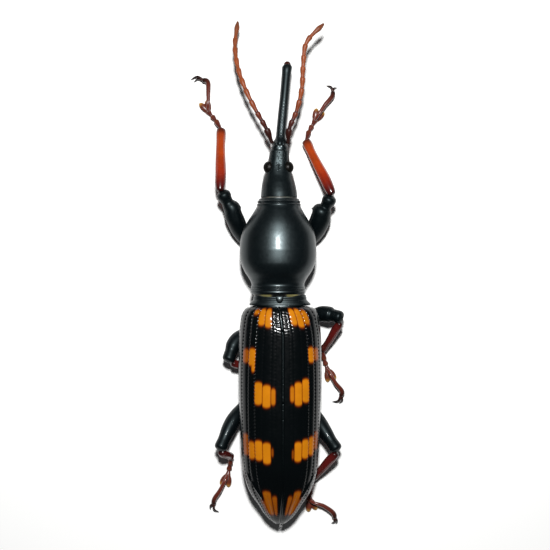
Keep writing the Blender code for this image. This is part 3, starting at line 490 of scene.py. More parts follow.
def makeSnout():
    # Rings with rows of points, a boss over each feeler socket, a dimple between the bosses and a hollow for
    # each socket, every one of them height or depth * e^-(distance / size)^2. Jaws, teeth and palps are tubes.
    look = snout
    low, high = look["sections"][0][0], look["sections"][-1][0]
    y = crowdedPlaces(low, high, look["rows"], (low, -21.0), 0.6, 2)
    grid = bodyGrid(look["sections"], y, look["columns"])
    run = smoothStep(y, look["pointsFrom"], -25) * (1 - smoothStep(y, -21.9, -21.4))
    relief = pointRows(grid, y, *look["points"], run)
    for side in (-1, 1):
        at = (look["bossMiddle"] + side * look["bossAside"], *look["bossPlace"])
        relief += look["bossHeight"] * hump(np.linalg.norm(grid - at, axis=2), 0, look["bossSize"])
    between = np.linalg.norm(grid - (look["bossMiddle"], *look["bossPlace"]), axis=2)
    relief -= look["dimple"][1] * hump(between, 0, look["dimple"][0])
    for socket in look["scrobes"]:
        relief -= look["scrobeDepth"] * hump(np.linalg.norm(grid - socket, axis=2), 0, look["scrobeSize"])
    grid = grid + outward(grid) * relief[:, :, None]
    grid = addLip(grid, True, ((1.0, 0.16), (0.97, 0.30), (0.9, 0.6)))
    grid = addLip(grid, False, ((0.93, -0.05), (0.72, -0.08)))
    parts = [patch(grid, 0.35 * smoothStep(grid[:, :, 1], look["pointsFrom"], -24))]
    tipX, level = look["sections"][0][4], (look["sections"][0][2] + look["sections"][0][3]) / 2
    share = np.linspace(0, 1, 26)
    for side in (-1, 1):
        bow = zip(look["jawSpread"], look["jawAhead"])
        line = [(tipX + side * out, low - ahead, level) for out, ahead in bow]
        radius = smoothCurve((0, 0.5, 1), look["jawRadii"])(share)
        parts.append(patch(tube(line, share, roundEnds(share, radius, 0.75, 0.1, 0.05), 20, 0.9), 0.44, 1))
        # a small cutting tooth on the inner side of each jaw, and a palp below
        tooth = [(tipX + side * 0.22, low - 0.14, level), (tipX + side * 0.09, low - 0.24, level)]
        parts.append(patch(tube(tooth, share, 0.10 * (1 - 0.8 * share), 12, 0.8), 0.3, 1))
        palp = [(tipX + side * 0.14, low + 0.12, level - 0.28), (tipX + side * 0.11, low - 0.16, level - 0.34)]
        parts.append(patch(tube(palp, share, roundEnds(share, 0.08 + 0 * share, 0.3, 0.05, 0.08), 10), 0.1, 1))
    buildPiece("snoutAndJaws", parts, [finishes["punctate"], finishes["claw"]], ["rostrum"])


def runningLength(points):
    # The summed length of the steps from the first point to each
    return np.concatenate([[0], np.cumsum(np.linalg.norm(np.diff(points, axis=0), axis=1))])


def axesOn(curve, place, step, last):
    # Place, direction, side and up vectors on a curve. The direction runs from a step before the place to a
    # step after it, the side vector is level and square to it, and the up vector is square to both.
    forward = curve(np.minimum(place + step, last)) - curve(np.maximum(place - step, 0))
    forward /= np.linalg.norm(forward, axis=1, keepdims=True)
    sideways = np.cross(forward, (0, 0, 1))
    sideways /= np.linalg.norm(sideways, axis=1, keepdims=True)
    return curve(place), forward, sideways, np.cross(sideways, forward)


def tubeFrame(line, share):
    # The four vectors on a smooth line through the points at equal shares of its length, and that length
    line = np.asarray(line, float)
    knots = runningLength(line)
    curve = smoothCurve(knots, line, False) if len(line) > 2 else (
        lambda place: line[0] + (line[1] - line[0]) * (np.atleast_1d(place) / knots[-1])[:, None]
    )
    fine = np.linspace(0, knots[-1], 500)
    lengths = runningLength(curve(fine))
    places = np.interp(share * lengths[-1], lengths, fine)
    return *axesOn(curve, places, knots[-1] * 2e-3, knots[-1]), lengths[-1]


def curveFrame(line, share):
    # The four vectors at shares of the straight steps' summed length, as the CAD part's feelers are read
    line = np.asarray(line, float)
    knots = runningLength(line)
    return axesOn(smoothCurve(knots / knots[-1], line, False), share, 1e-3, 1)


def tube(line, share, radius, columns, flat=1.0, frameOf=tubeFrame):
    # centre + radius * (side * cos + up * sin * flat), with the angle running round
    centre, _, sideways, up = frameOf(line, share)[:4]
    angle = turns(columns)
    around = sideways[:, None] * np.cos(angle)[:, None] + up[:, None] * np.sin(angle)[:, None] * flat
    return centre[:, None] + np.broadcast_to(radius, share.shape)[:, None, None] * around


def roundEnds(share, radius, length, startDepth, endDepth):
    # The radius times the square root of 1 - (1 - d)^2 within a depth of each end, as on a round cap
    result = np.array(np.broadcast_to(radius, share.shape), float)
    for distance, depth in ((share * length, startDepth), ((1 - share) * length, endDepth)):
        if depth > 0:
            t = np.clip(distance / depth, 0, 1)
            result *= np.maximum(np.sqrt(1 - (1 - t) ** 2), 0.02)
    return result


def endCrowded(count, strength=0.6):
    # 0 to 1 with closer steps at both ends
    t = np.linspace(0, 1, count)
    return (1 - strength) * t + strength * (1 - np.cos(math.pi * t)) / 2


def oval(centre, halfSizes, rows, columns, heading=0.0):
    # An oval ball: half sizes times (cos p, sin p cos a, sin p sin a), turned by the heading in plan
    polar = np.linspace(0.02, math.pi - 0.02, rows)[:, None]
    angle = turns(columns)[None]
    x = halfSizes[0] * np.cos(polar) + 0 * angle
    y = halfSizes[1] * np.sin(polar) * np.cos(angle)
    z = halfSizes[2] * np.sin(polar) * np.sin(angle)
    c, s = math.cos(heading), math.sin(heading)
    return np.stack([x * c - y * s, x * s + y * c, z], axis=-1) + np.asarray(centre, float)


def makeHead():
    # Rings with a groove round each eye, depth * e^-((distance - place) / width)^2, a flatter brow and a short
    # dent between the eyes, each its depth * e^-((x - middle) / width)^2 on the upper side, faded along y.
    look = head
    low, high = look["sections"][0][0], look["sections"][-1][0]
    eyeX, eyeY, eyeZ = look["eyeCentre"]
    y = crowdedPlaces(low, high, look["rows"], (eyeY, high), 0.9, 1.5)
    grid = bodyGrid(look["sections"], y, look["columns"])
    normal = outward(grid)
    relief = np.zeros(grid.shape[:2])
    for side in (-1, 1):
        away = (grid - (eyeX + side * look["eyeSpread"], eyeY, eyeZ)) / np.array(look["eyeHalfSizes"])
        distance = np.linalg.norm(away, axis=2)
        relief -= look["orbitDepth"] * hump(distance, look["orbitPlace"], look["orbitWidth"])
    onTop = smoothStep(normal[:, :, 2], 0.4, 0.9)
    ahead = 1 - smoothStep(grid[:, :, 1], *look["browSpan"])
    relief -= look["browDepth"] * (hump(grid[:, :, 0], look["middleX"], look["browWidth"]) * ahead) * onTop
    depth, width, place, reach = look["pitLine"]
    relief -= depth * hump(grid[:, :, 0], look["middleX"], width) * onTop * hump(grid[:, :, 1], place, reach)
    grid = grid + normal * relief[:, :, None]
    rough = (1 - smoothStep(grid[:, :, 1], *look["roughSpan"])) * onTop + look["roughLeast"]
    front = rough[:1].repeat(len(look["frontLip"]), 0)
    back = rough[-1:].repeat(len(look["backLip"]), 0)
    grid = addLip(addLip(grid, True, look["backLip"]), False, look["frontLip"])
    tone = np.concatenate([front, rough, back])
    buildPiece("headCapsule", [patch(grid, tone)], [finishes["punctate"]], ["head"])
    # the eyes, with facets: three crossing rows of small waves, as on a honeycomb
    polar = np.linspace(0.02, math.pi - 0.02, look["eyeRows"])[:, None]
    p, a = polar * look["waveCount"], turns(look["eyeColumns"])[None] * look["waveCount"]
    wave = (np.cos(2 * p) + np.cos(p + a) + np.cos(p - a)) / 3
    for name, side in (("Left", 1), ("Right", -1)):
        centre = (eyeX + side * look["eyeSpread"], eyeY, eyeZ)
        ball = oval(centre, look["eyeHalfSizes"], look["eyeRows"], look["eyeColumns"])
        ball = ball + outward(ball) * (look["facetHeight"] * wave * np.sin(polar))[:, :, None]
        eye = patch(ball, 0.5 + 0.5 * wave)
        buildPiece("eye" + name, [eye], [finishes["eye"]], ["eye_" + name.lower()])


def makeProthorax():
    # Rings with raised and sunken bands, height * e^-((y - place) / width)^2, and a shallow dip on top near the
    # base. The joint skins at its ends are waved by a cosine along y, and are pale only along their tops:
    # partly their own colour, partly a painted highlight.
    look = prothorax
    low, high = look["sections"][0][0], look["sections"][-1][0]
    y = crowdedPlaces(low, high, look["rows"], (-13.2, -2.2), 0.7, 3)
    grid = bodyGrid(look["sections"], y, look["columns"])
    normal = outward(grid)
    bands = (*look["collarRings"], *look["baseRings"])
    rings = sum(height * hump(y, place, width) for place, height, width in bands)
    dip = hump(grid[:, :, 0], look["middleX"], look["dipWidth"]) * smoothStep(normal[:, :, 2], 0.5, 0.95)
    dip = dip * hump(grid[:, :, 1], look["dipPlace"], look["dipReach"])
    grid = grid + normal * (rings[:, None] - look["middleDip"] * dip)[:, :, None]
    grid = addLip(addLip(grid, False, look["frontLip"]), True, look["backLip"])
    buildPiece("prothoraxShield", [patch(grid)], [finishes["satin"]], ["prothorax"])
    for name, (sections, apart, pale) in look["skins"].items():
        y = np.linspace(sections[0][0], sections[-1][0], look["skinRows"])
        skin = bodyGrid(sections, y, 140)
        wave = look["skinWave"] * np.cos(np.linspace(0, 3 * full, look["skinRows"]))
        skin = skin + outward(skin) * wave[:, None, None]
        aside = smoothStep(abs(skin[:, :, 0] - 0.05), apart * 0.35, apart * 0.6 + 0.01)
        # painted highlight: the skin is pale only along its top, above about 6.6 mm, and away from its middle,
        # and dark lower down. The pale is partly the skin's own colour and partly a highlight painted on its
        # lit top.
        tone = pale * smoothStep(skin[:, :, 2], 6.6, 7.5) * aside
        buildPiece(name, [patch(skin, tone)], [finishes["membrane"]], [])


makeSnout()
makeHead()
makeProthorax()
print("snout, head and prothorax made")

wing = {
    "sections": (  # y, half width, top, level of the greatest width, level of the side margin
        (0.00, 4.02, 8.62, 5.60, 4.70), (0.30, 4.44, 8.90, 5.60, 4.50), (0.95, 4.88, 9.18, 5.56, 4.34),
        (2.20, 5.14, 9.40, 5.54, 4.28), (4.00, 5.28, 9.50, 5.52, 4.24), (8.57, 5.33, 9.46, 5.50, 4.20),
        (15.28, 5.15, 9.34, 5.44, 4.12), (18.55, 5.02, 9.12, 5.34, 4.05), (21.92, 4.62, 8.58, 5.10, 3.95),
        (24.38, 3.72, 7.56, 4.80, 3.80), (25.80, 2.78, 6.66, 4.50, 3.70), (27.23, 1.86, 5.52, 4.20, 3.55),
        (27.90, 1.24, 4.86, 4.00, 3.45), (28.35, 0.66, 4.30, 3.80, 3.40),
    ),
    "squareness": 2.25, "wall": 0.5, "rows": 560, "strips": 27,
    "seamX": -0.45, "seamShiftLength": 3.5, "seamShiftWidth": 4.0, "seamGap": 0.07,
    "grooves": (0.11, 0.17, 0.295, 0.418, 0.535, 0.66, 0.79, 0.90),  # shares of the way from seam to margin
    "grooveWidth": 0.10, "grooveDepths": (0.005, 0.006, 0.008, 0.012, 0.012, 0.006, 0.005, 0.004),
    "pitch": 0.45, "pitSize": (0.10, 0.12), "pitDepths": (0.010, 0.012, 0.018, 0.08, 0.11, 0.11, 0.10, 0.07),
    "ribRises": (0.0, 0.004, 0.008, 0.010, 0.010, 0.008, 0.004, 0.002, 0.0),
    "basePinch": 0.31, "basePinchLength": 5.0,
    "crestLine": ((20.5, 0.66), (21.8, 0.58), (24.2, 0.42), (27.2, 0.38)),
    "crestWidth": 0.15, "crestHeight": 0.18, "wrinkleHeight": 0.022, "wrinklePitch": 0.42,
    "seamEdge": (0.09, 0.10), "baseEdge": (0.12, 0.10),  # depth and width of a rounded edge
    "marginEdge": ((0.015, 0.22, 0.12), (-0.05, 0.0, 0.08)),  # height, distance in, width
    "spotSoft": 0.42, "spotSides": (-0.13, 0.12), "spotBow": 0.20,
}
# Orange spots: first and last mark (0 is the seam, 1 the first groove ...), then start and end y on the left
# and on the right wing case, and how bright the spot is
spots = (
    (2, 3, (0.15, 2.75), (0.15, 2.45), 1.0), (3, 4, (0.15, 2.50), (0.15, 2.75), 0.96),
    (4, 5, (0.25, 1.15), (0.30, 2.40), 0.86),
    (4, 5, (5.15, 7.60), (5.00, 7.20), 0.94), (4, 4.5, (6.60, 8.40), (6.40, 7.20), 0.90),
    (5, 5.9, (5.20, 7.30), (5.10, 7.00), 0.72),
    (0.9, 2, (10.15, 12.55), (9.85, 12.15), 0.86), (2, 3, (9.75, 12.85), (9.40, 12.60), 1.0),
    (3, 4, (9.40, 12.50), (9.00, 12.20), 1.0),
    (1.3, 2, (17.70, 19.10), (17.90, 19.40), 0.66), (2, 3, (17.05, 20.00), (16.95, 19.70), 1.0),
    (3, 4, (16.80, 19.60), (16.65, 19.35), 0.98), (4, 5, (16.95, 19.50), (16.35, 19.05), 0.88),
    (5, 6, (16.00, 19.10), (15.75, 18.40), 0.68),
    (0.9, 2.3, (24.00, 27.15), (24.00, 27.15), 0.74), (2.3, 3.6, (23.35, 27.10), (23.35, 27.10), 0.78),
    (3.4, 4.5, (24.60, 27.00), (24.40, 27.00), 0.60),
)
belly = (  # y, level
    (-1.25, 3.00), (0.60, 2.45), (2.00, 2.25), (6.00, 2.15), (14.00, 2.25), (20.00, 2.50), (25.00, 3.05),
    (28.00, 3.50),
)


def wingCurve(column):
    # The curve through one column of the wing cases' sections
    return tableCurve(wing["sections"], column)


def wingSheet(y, shares, side, inset):
    # One section at each y, from the seam round to the margin, read at shares of its length. Above the
    # greatest width x = seam + (edge - seam) * sin(a)^p and z = widest + rise * cos(a)^p, with p the 2 over the
    # squareness. Below it x = seam + (edge - seam) * cos(b) and z = widest - (widest - belly) * sin(b).
    halfWidth, top, widest, margin = (wingCurve(column)(y)[:, None] for column in (1, 2, 3, 4))
    under = tableCurve(belly)(y)[:, None]
    wall = np.minimum(inset, np.minimum(0.42 * halfWidth, 0.5 * (top - margin)))
    shift = np.minimum(1, np.minimum(y[:, None] / wing["seamShiftLength"], halfWidth / wing["seamShiftWidth"]))
    seam = wing["seamX"] * shift + side * wing["seamGap"] / 2
    edge = bodyMiddle + side * (halfWidth - wall)
    last = np.arcsin(np.minimum(0.95, (widest - margin) / (widest - under))) + math.pi / 2
    angle = last * np.linspace(0, 1, 260)
    upper = np.clip(angle, 0, math.pi / 2)
    lower = np.clip(angle - math.pi / 2, 0, None)
    power = 2 / wing["squareness"]
    x = seam + (edge - seam) * np.sin(upper) ** power * np.cos(lower)
    rise = (top - wall - widest) * np.maximum(np.cos(upper), 0) ** power
    z = widest + rise - (widest - under) * np.sin(lower)
    lengths = np.cumsum(np.hypot(np.diff(x, prepend=x[:, :1]), np.diff(z, prepend=z[:, :1])), axis=1)
    sheet = np.empty((len(y), shares.shape[1], 3))
    sheet[:, :, 1] = y[:, None]
    for row, (spots_, lengths_, x_, z_) in enumerate(zip(shares * lengths[:, -1:], lengths, x, z)):
        sheet[row, :, 0] = np.interp(spots_, lengths_, x_)
        sheet[row, :, 2] = np.interp(spots_, lengths_, z_)
    return sheet, lengths[:, -1:]


def spotTone(y, mark, markWidth, side):
    # The brightest of the spots at each place. A spot is a smooth step of the distance in from its ends,
    # bowed by bow * (2u - 1)^2 with u its share across, times a smooth step of that in from its sides.
    tone = np.zeros(mark.shape)
    for first, last, left, right, bright in spots:
        start, end = left if side > 0 else right
        across = np.clip((mark - first) / (last - first), 0, 1)
        bow = wing["spotBow"] * (2 * across - 1) ** 2
        inY = smoothStep(np.minimum(y - start - bow, end - bow - y), -wing["spotSoft"], wing["spotSoft"])
        inX = smoothStep(np.minimum(mark - first, last - mark) * markWidth, *wing["spotSides"])
        tone = np.maximum(tone, bright * inY * inX)
    return tone


def makeWingCase(name, side):
    # The sheet, pushed out by rise * sin^2 over each rib and in by humps for its grooves and rows of pits
    look = wing
    marks = np.array((0.0, *look["grooves"], 1.0))
    shares = crowdedPlaces(0, 1, 4 * look["strips"] + 1, (0.0, *look["grooves"], 1.0), 0.016, 2.2)
    low, high = look["sections"][0][0], look["sections"][-1][0]
    fineY = np.linspace(low, high, 3000)
    run = np.concatenate([[0], np.cumsum(np.hypot(np.diff(fineY), np.diff(wingCurve(2)(fineY))))])
    density = run + 1.2 * (1 - np.exp(-fineY / 0.4))
    y = np.interp(np.linspace(0, density[-1], look["rows"]), density, fineY)
    along = np.interp(y, fineY, run)[:, None]
    pinch = 1 - look["basePinch"] * np.exp(-y / look["basePinchLength"])[:, None]
    # near the base the ribs lie closer to the seam: the inner share of the way shrinks, the outer one grows
    bent = shares[None] * (pinch + (1 - pinch) * shares[None] ** 2)
    outer, arc = wingSheet(y, bent, side, 0.0)
    normal = outward(outer, closed=False)
    away = outer - np.stack([np.full_like(y, bodyMiddle), y, wingCurve(3)(y)], axis=-1)[:, None]
    normal *= np.sign((normal * away).sum())
    perShare = arc * np.gradient(bent, shares, axis=1)  # millimetres for a whole share
    mark = np.interp(shares, marks, np.arange(len(marks)))[None] + 0 * y[:, None]
    rises = np.array(look["ribRises"])[np.minimum(mark.astype(int), len(look["ribRises"]) - 1)]
    relief = rises * np.sin(math.pi * (mark % 1)) ** 2
    for number, groove in enumerate(look["grooves"]):
        aside = (shares[None] - groove) * perShare
        relief -= look["grooveDepths"][number] * hump(aside, 0, look["grooveWidth"])
        shift = 0.31 * number * look["pitch"] * (1 + 0.3 * math.sin(5 * number))
        step = ((along + shift) / look["pitch"]) % 1 - 0.5
        pit = hump(aside, 0, look["pitSize"][0]) * hump(step * look["pitch"], 0, look["pitSize"][1])
        relief -= look["pitDepths"][number] * pit
    # a crest along each side near the tip, and wrinkles between the first spots
    crestAt = tableCurve(look["crestLine"])(np.clip(y, 20.5, 27.2))[:, None]
    crest = hump((shares[None] - crestAt) * perShare, 0, look["crestWidth"])
    crestRun = (smoothStep(y, 20.5, 22.8) * (1 - smoothStep(y, 26.2, 27.4)))[:, None]
    relief += look["crestHeight"] * crest * crestRun
    phase = y[:, None] * full / look["wrinklePitch"] + 2.4 * mark * side + np.sin(5 * mark + 3 * y[:, None])
    wrinkled = hump(y[:, None], 1.9, 1.3)
    relief += look["wrinkleHeight"] * np.cos(phase) * wrinkled * (1 - smoothStep(mark, 1.8, 2.3))
    relief *= smoothStep(y, 0.0, 0.7)[:, None] * np.minimum(1, wingCurve(1)(y)[:, None] / 2.8)
    edgeIn, edgeOut = shares[None] * perShare, (1 - shares[None]) * perShare
    depth, width = look["seamEdge"]
    relief -= depth * hump(edgeIn, 0, width)
    relief += sum(height * hump(edgeOut, place, width) for height, place, width in look["marginEdge"])
    depth, width = look["baseEdge"]
    relief -= depth * hump(y, 0, width)[:, None]
    outer = outer + normal * relief[:, :, None]
    markWidth = perShare * np.interp(shares, (marks[:-1] + marks[1:]) / 2, np.diff(marks))[None]
    tone = spotTone(y[:, None], mark, markWidth, side)
    inner, _ = wingSheet(y, bent[:, ::4], side, look["wall"])
    grid = np.concatenate([outer, inner[:, ::-1]], axis=1)
    tones = np.concatenate([tone, np.zeros(inner.shape[:2])], axis=1)
    columns = grid.shape[1]
    strip = np.arange(look["strips"])
    ends = []
    for row in (0, look["rows"] - 1):
        outerPoints = [4 * strip + step for step in range(5)]
        innerPoints = [columns - 1 - (strip + 1), columns - 1 - strip]
        ends.append(np.stack([*outerPoints, *innerPoints], axis=-1) + row * columns)
    ends[0] = ends[0][:, ::-1]
    shell = patch(grid, tones, caps=ends)
    buildPiece("wingCase" + name, [shell], [finishes["gloss"]], ["elytron_" + name.lower()])


makeWingCase("Left", 1)
makeWingCase("Right", -1)
print("wing cases made")

underBody = {
    "inset": 0.98, "squareness": 2.25,
    "neck": ((-1.24, 3.34, 7.42), (-0.75, 3.52, 7.50), (-0.32, 3.94, 7.62)),  # y, half width, top
    "neckSpan": (-1.40, -0.10), "neckEnd": (-0.12, -0.02),
    "neckRings": ((-1.15, 0.04, 0.12), (-0.85, -0.03, 0.08)),  # y, height, width
    "scutellum": {"middle": -0.02, "halfWidth": 0.50, "from": -1.34, "to": -0.40, "top": 7.72, "dome": 0.14},
    "midGroove": (0.10, 0.14), "sideGroove": (0.06, 3.35, 0.10),  # depth, level of the side groove, width
    "plateEnds": (16.9, 20.6, 22.6, 24.4), "seamDepth": 0.16, "seamWidth": 0.14,
}


def underGrid(y, columns):
    # Rings like those of the wing cases, drawn in by the inset, with the belly's level as their lowest point.
    # Ahead of the wing cases they go over to the neck's own widths and tops by a smooth step.
    look = underBody
    beside = np.clip(y, 0, None)
    share = smoothStep(y, *look["neckEnd"])
    halfWidth, top = (
        tableCurve(look["neck"], column)(y) * (1 - share) + (wingCurve(column)(beside) - look["inset"]) * share
        for column in (1, 2)
    )
    widest, under = wingCurve(3)(beside)[:, None], tableCurve(belly)(y)[:, None]
    halfWidth, top = halfWidth[:, None], top[:, None]
    return ringGrid(y, columns, look["squareness"], bodyMiddle, halfWidth, top, widest, under)


def makeUnderBody():
    # Three lengths of underGrid, whose grooves and raised bands are each height * e^-(distance / width)^2
    look = underBody
    y = crowdedPlaces(look["neckSpan"][0], 2.95, 110, (-1.2, -0.2), 0.3, 4)
    middle = underGrid(y, 150)
    rings = sum(height * hump(y, place, width) for place, height, width in look["neckRings"])
    middle = middle + outward(middle) * rings[:, None, None]
    middle = addLip(middle, False, ((0.97, -0.05), (0.9, -0.06)))
    middle = addLip(middle, True, ((0.97, 0.05),))
    parts = [patch(middle)]
    # the scutellum: a small shield that narrows as the root of 1 - v^2.2, domed by half an ellipse in v
    plate = look["scutellum"]
    v = endCrowded(30)[:, None]
    angle = turns(48)[None]
    width = plate["halfWidth"] * np.sqrt(np.clip(1 - v ** 2.2, 0.002, 1)) * smoothStep(v, -0.3, 0.15)
    x = plate["middle"] + width * np.cos(angle)
    z = plate["top"] + plate["dome"] * np.sin(angle) * np.sqrt(np.clip(1 - (2 * v - 1) ** 2, 0, 1)) + 0 * x
    shield = np.stack([x, plate["from"] + (plate["to"] - plate["from"]) * v + 0 * x, z], axis=-1)
    parts.append(patch(shield))
    buildPiece("midBody", parts, [finishes["satin"]], ["mesothorax"])

    y = np.linspace(3.25, 12.10, 110)
    hind = underGrid(y, 160)
    normal = outward(hind)
    below = smoothStep(-normal[:, :, 2], 0.2, 0.8)
    depth, width = look["midGroove"]
    relief = -depth * hump(hind[:, :, 0] - bodyMiddle, 0, width) * below * smoothStep(y, 5, 7)[:, None]
    depth, level, width = look["sideGroove"]
    relief -= depth * hump(hind[:, :, 2], level, width) * smoothStep(abs(normal[:, :, 0]), 0.3, 0.6)
    hind = hind + normal * relief[:, :, None]
    hind = addLip(addLip(hind, True, ((0.96, 0.08),)), False, ((0.96, -0.08),))
    buildPiece("hindThorax", [patch(hind, 0.7)], [finishes["punctate"]], ["metathorax"])

    y = crowdedPlaces(12.40, 27.05, 210, look["plateEnds"], 0.2, 3)
    tail = underGrid(y, 150)
    normal = outward(tail)
    below = smoothStep(-normal[:, :, 2], -0.2, 0.3)
    seams = sum(-look["seamDepth"] * hump(y, place, look["seamWidth"]) for place in look["plateEnds"])
    edges = sum(0.05 * hump(y, place - 0.32, 0.2) for place in look["plateEnds"])
    relief = seams[:, None] * below + edges[:, None] * below
    tail = tail + normal * relief[:, :, None]
    tail = addLip(addLip(tail, True, ((0.93, 0.05), (0.75, 0.09))), False, ((0.96, -0.08),))
    buildPiece("bellyPlates", [patch(tail, 0.7)], [finishes["punctate"]], ["abdomen"])


makeUnderBody()
print("under body made")

feeler = {
    "lines": {
        "Left": (
            (0.92, -20.95, 5.42), (1.62, -22.69, 5.90), (2.79, -24.73, 6.08), (4.27, -27.66, 6.05),
            (5.27, -30.42, 5.50), (5.75, -33.45, 4.60), (5.43, -37.16, 3.50),
        ),
        "Right": (
            (-1.12, -20.95, 5.44), (-1.26, -22.70, 6.00), (-2.17, -24.98, 6.15), (-2.87, -27.87, 6.35),
            (-3.05, -31.00, 6.55), (-3.40, -33.60, 6.60), (-5.72, -36.28, 6.35),
        ),
    },
    "segments": (2.10, 1.20, 1.20, 1.70, 1.60, 1.50, 1.45, 1.50, 1.50, 1.35, 2.45),
    "waist": 0.24, "knob": 0.35, "overlap": 0.12, "jointShade": 0.5,
    "lengths": {"scape": (0, 1), "middle": (1, 7), "tip": (7, 11)},  # first segment, one past the last
    "denseFrom": 7, "hairLength": 0.20, "hairRadius": 0.011,
}


def feelerSegment(line, first, last, number):
    # A tube whose radius runs from the waist to the knob near its outer end. Its root starts an overlap
    # further back, inside the segment before.
    share = endCrowded(38, 0.7)
    isLast = number == len(feeler["segments"]) - 1
    waist, knob = feeler["waist"], feeler["knob"] * (1.25 if number == 0 else 1.0)
    shape = ((0, waist), (0.3, waist * 1.08), (0.62, knob), (0.85, waist * 0.9), (1, 0.10)) if isLast else (
        (0, waist), (0.3, waist * 1.08), (0.78, knob), (0.93, knob * 0.94), (1, knob * 0.72))
    if number:
        first -= feeler["overlap"] / sum(feeler["segments"])
    radius = roundEnds(share, tableCurve(shape)(share), feeler["segments"][number], 0.06, 0.10)
    whole = first + (last - first) * share
    return tube(line, whole, radius, 26, frameOf=curveFrame), whole


def makeFeeler(name, line):
    # A segment's tone is its share of the feeler * (1 - joint shade * e^-(distance / width)^2) at its ends.
    # Hairs stand at random turns round it, and closer on the last segments.
    ends = np.concatenate([[0], np.cumsum(feeler["segments"])]) / sum(feeler["segments"])
    for length, (first, last) in feeler["lengths"].items():
        parts = []
        for number in range(first, last):
            start, end = ends[number], ends[number + 1]
            grid, whole = feelerSegment(line, start, end, number)
            shade = hump(whole, start, 0.006) + hump(whole, end, 0.004)
            parts.append(patch(grid, (whole * (1 - feeler["jointShade"] * np.minimum(shade, 1)))[:, None]))
            dense = number >= feeler["denseFrom"]
            count = 90 if dense else 26
            where = rng.uniform(0.35 if not dense else 0.1, 0.97, count)
            centre, forward, sideways, up = curveFrame(line, start + (end - start) * where)
            turn = rng.uniform(0, full, count)[:, None]
            out = sideways * np.cos(turn) + up * np.sin(turn)
            at = centre + out * feeler["knob"] * 0.72
            size = feeler["hairLength"] * (0.6 if dense else 1.0) * rng.uniform(0.7, 1.1, count)[:, None]
            parts.append(bristles(at, out * 0.75 + forward, size[:, 0], feeler["hairRadius"], 0.0))
        buildPiece(f"feeler{length.capitalize()}{name}", parts, [finishes["feeler"], finishes["hair"]],
                   [f"antenna_{name.lower()}_{length}"])


for feelerName, feelerLine in feeler["lines"].items():
    makeFeeler(feelerName, feelerLine)
print("feelers made")

legJoints = {
    "front_left": {
        "hip": (1.62, -6.60, 1.98), "root": (3.84, -7.93, 1.72), "club": (5.90, -11.55, 3.60),
        "knee": (7.48, -14.95, 4.80), "ankle": (7.70, -23.35, 1.45), "toe": (9.45, -25.72, 0.36),
        "hook": (9.75, -29.85, 0.85), "claws": ((11.83, -30.03, 0.35), (11.38, -29.72, 0.30)),
        "bend": -0.20, "girth": 1.0,
    },
    "front_right": {
        "hip": (-1.38, -6.60, 1.98), "root": (-3.50, -8.06, 1.72), "club": (-5.48, -11.55, 3.60),
        "knee": (-6.72, -14.34, 4.80), "ankle": (-3.50, -21.80, 1.45), "toe": (-4.76, -24.57, 0.36),
        "hook": (-7.12, -28.15, 0.85), "claws": ((-6.27, -29.25, 0.35), (-7.68, -28.98, 0.30)),
        "bend": 0.0, "girth": 1.12,
    },
    "middle_left": {
        "hip": (1.55, 1.60, 1.92), "root": (3.58, 3.30, 1.70), "club": (5.62, 4.65, 2.75),
        "knee": (6.78, 7.42, 3.85), "ankle": (3.40, 8.10, 1.30), "toe": (1.55, 9.15, 0.36),
        "hook": (-1.55, 9.60, 0.75), "claws": ((-2.60, 10.35, 0.30), (-2.70, 9.00, 0.30)),
        "bend": 0.0, "girth": 1.0,
    },
    "middle_right": {
        "hip": (-1.70, 1.60, 1.92), "root": (-3.80, 1.30, 1.75), "club": (-5.95, 1.10, 2.95),
        "knee": (-8.30, 1.60, 4.35), "ankle": (-5.75, 6.00, 1.30), "toe": (-6.45, 8.60, 0.36),
        "hook": (-8.32, 11.78, 0.85), "claws": ((-7.05, 12.88, 0.35), (-7.98, 13.12, 0.30)),
        "bend": 0.0, "girth": 1.03,
    },
    "hind_left": {
        "hip": (1.95, 10.70, 1.90), "root": (3.90, 12.30, 1.75), "club": (6.05, 15.06, 3.30),
        "knee": (7.82, 18.75, 4.90), "ankle": (6.40, 20.05, 1.45), "toe": (6.85, 22.60, 0.36),
        "hook": (8.70, 26.15, 0.90), "claws": ((9.14, 27.25, 0.35), (8.04, 27.60, 0.30)),
        "bend": 0.0, "girth": 1.0,
    },
    "hind_right": {
        "hip": (-2.10, 10.70, 1.90), "root": (-3.95, 13.10, 1.75), "club": (-5.80, 16.25, 3.20),
        "knee": (-7.62, 18.90, 4.50), "ankle": (-4.45, 22.90, 1.35), "toe": (-4.05, 25.90, 0.36),
        "hook": (-7.32, 28.00, 0.95), "claws": ((-7.52, 29.15, 0.35), (-6.95, 29.10, 0.30)),
        "bend": -0.42, "girth": 1.0,
    },
}
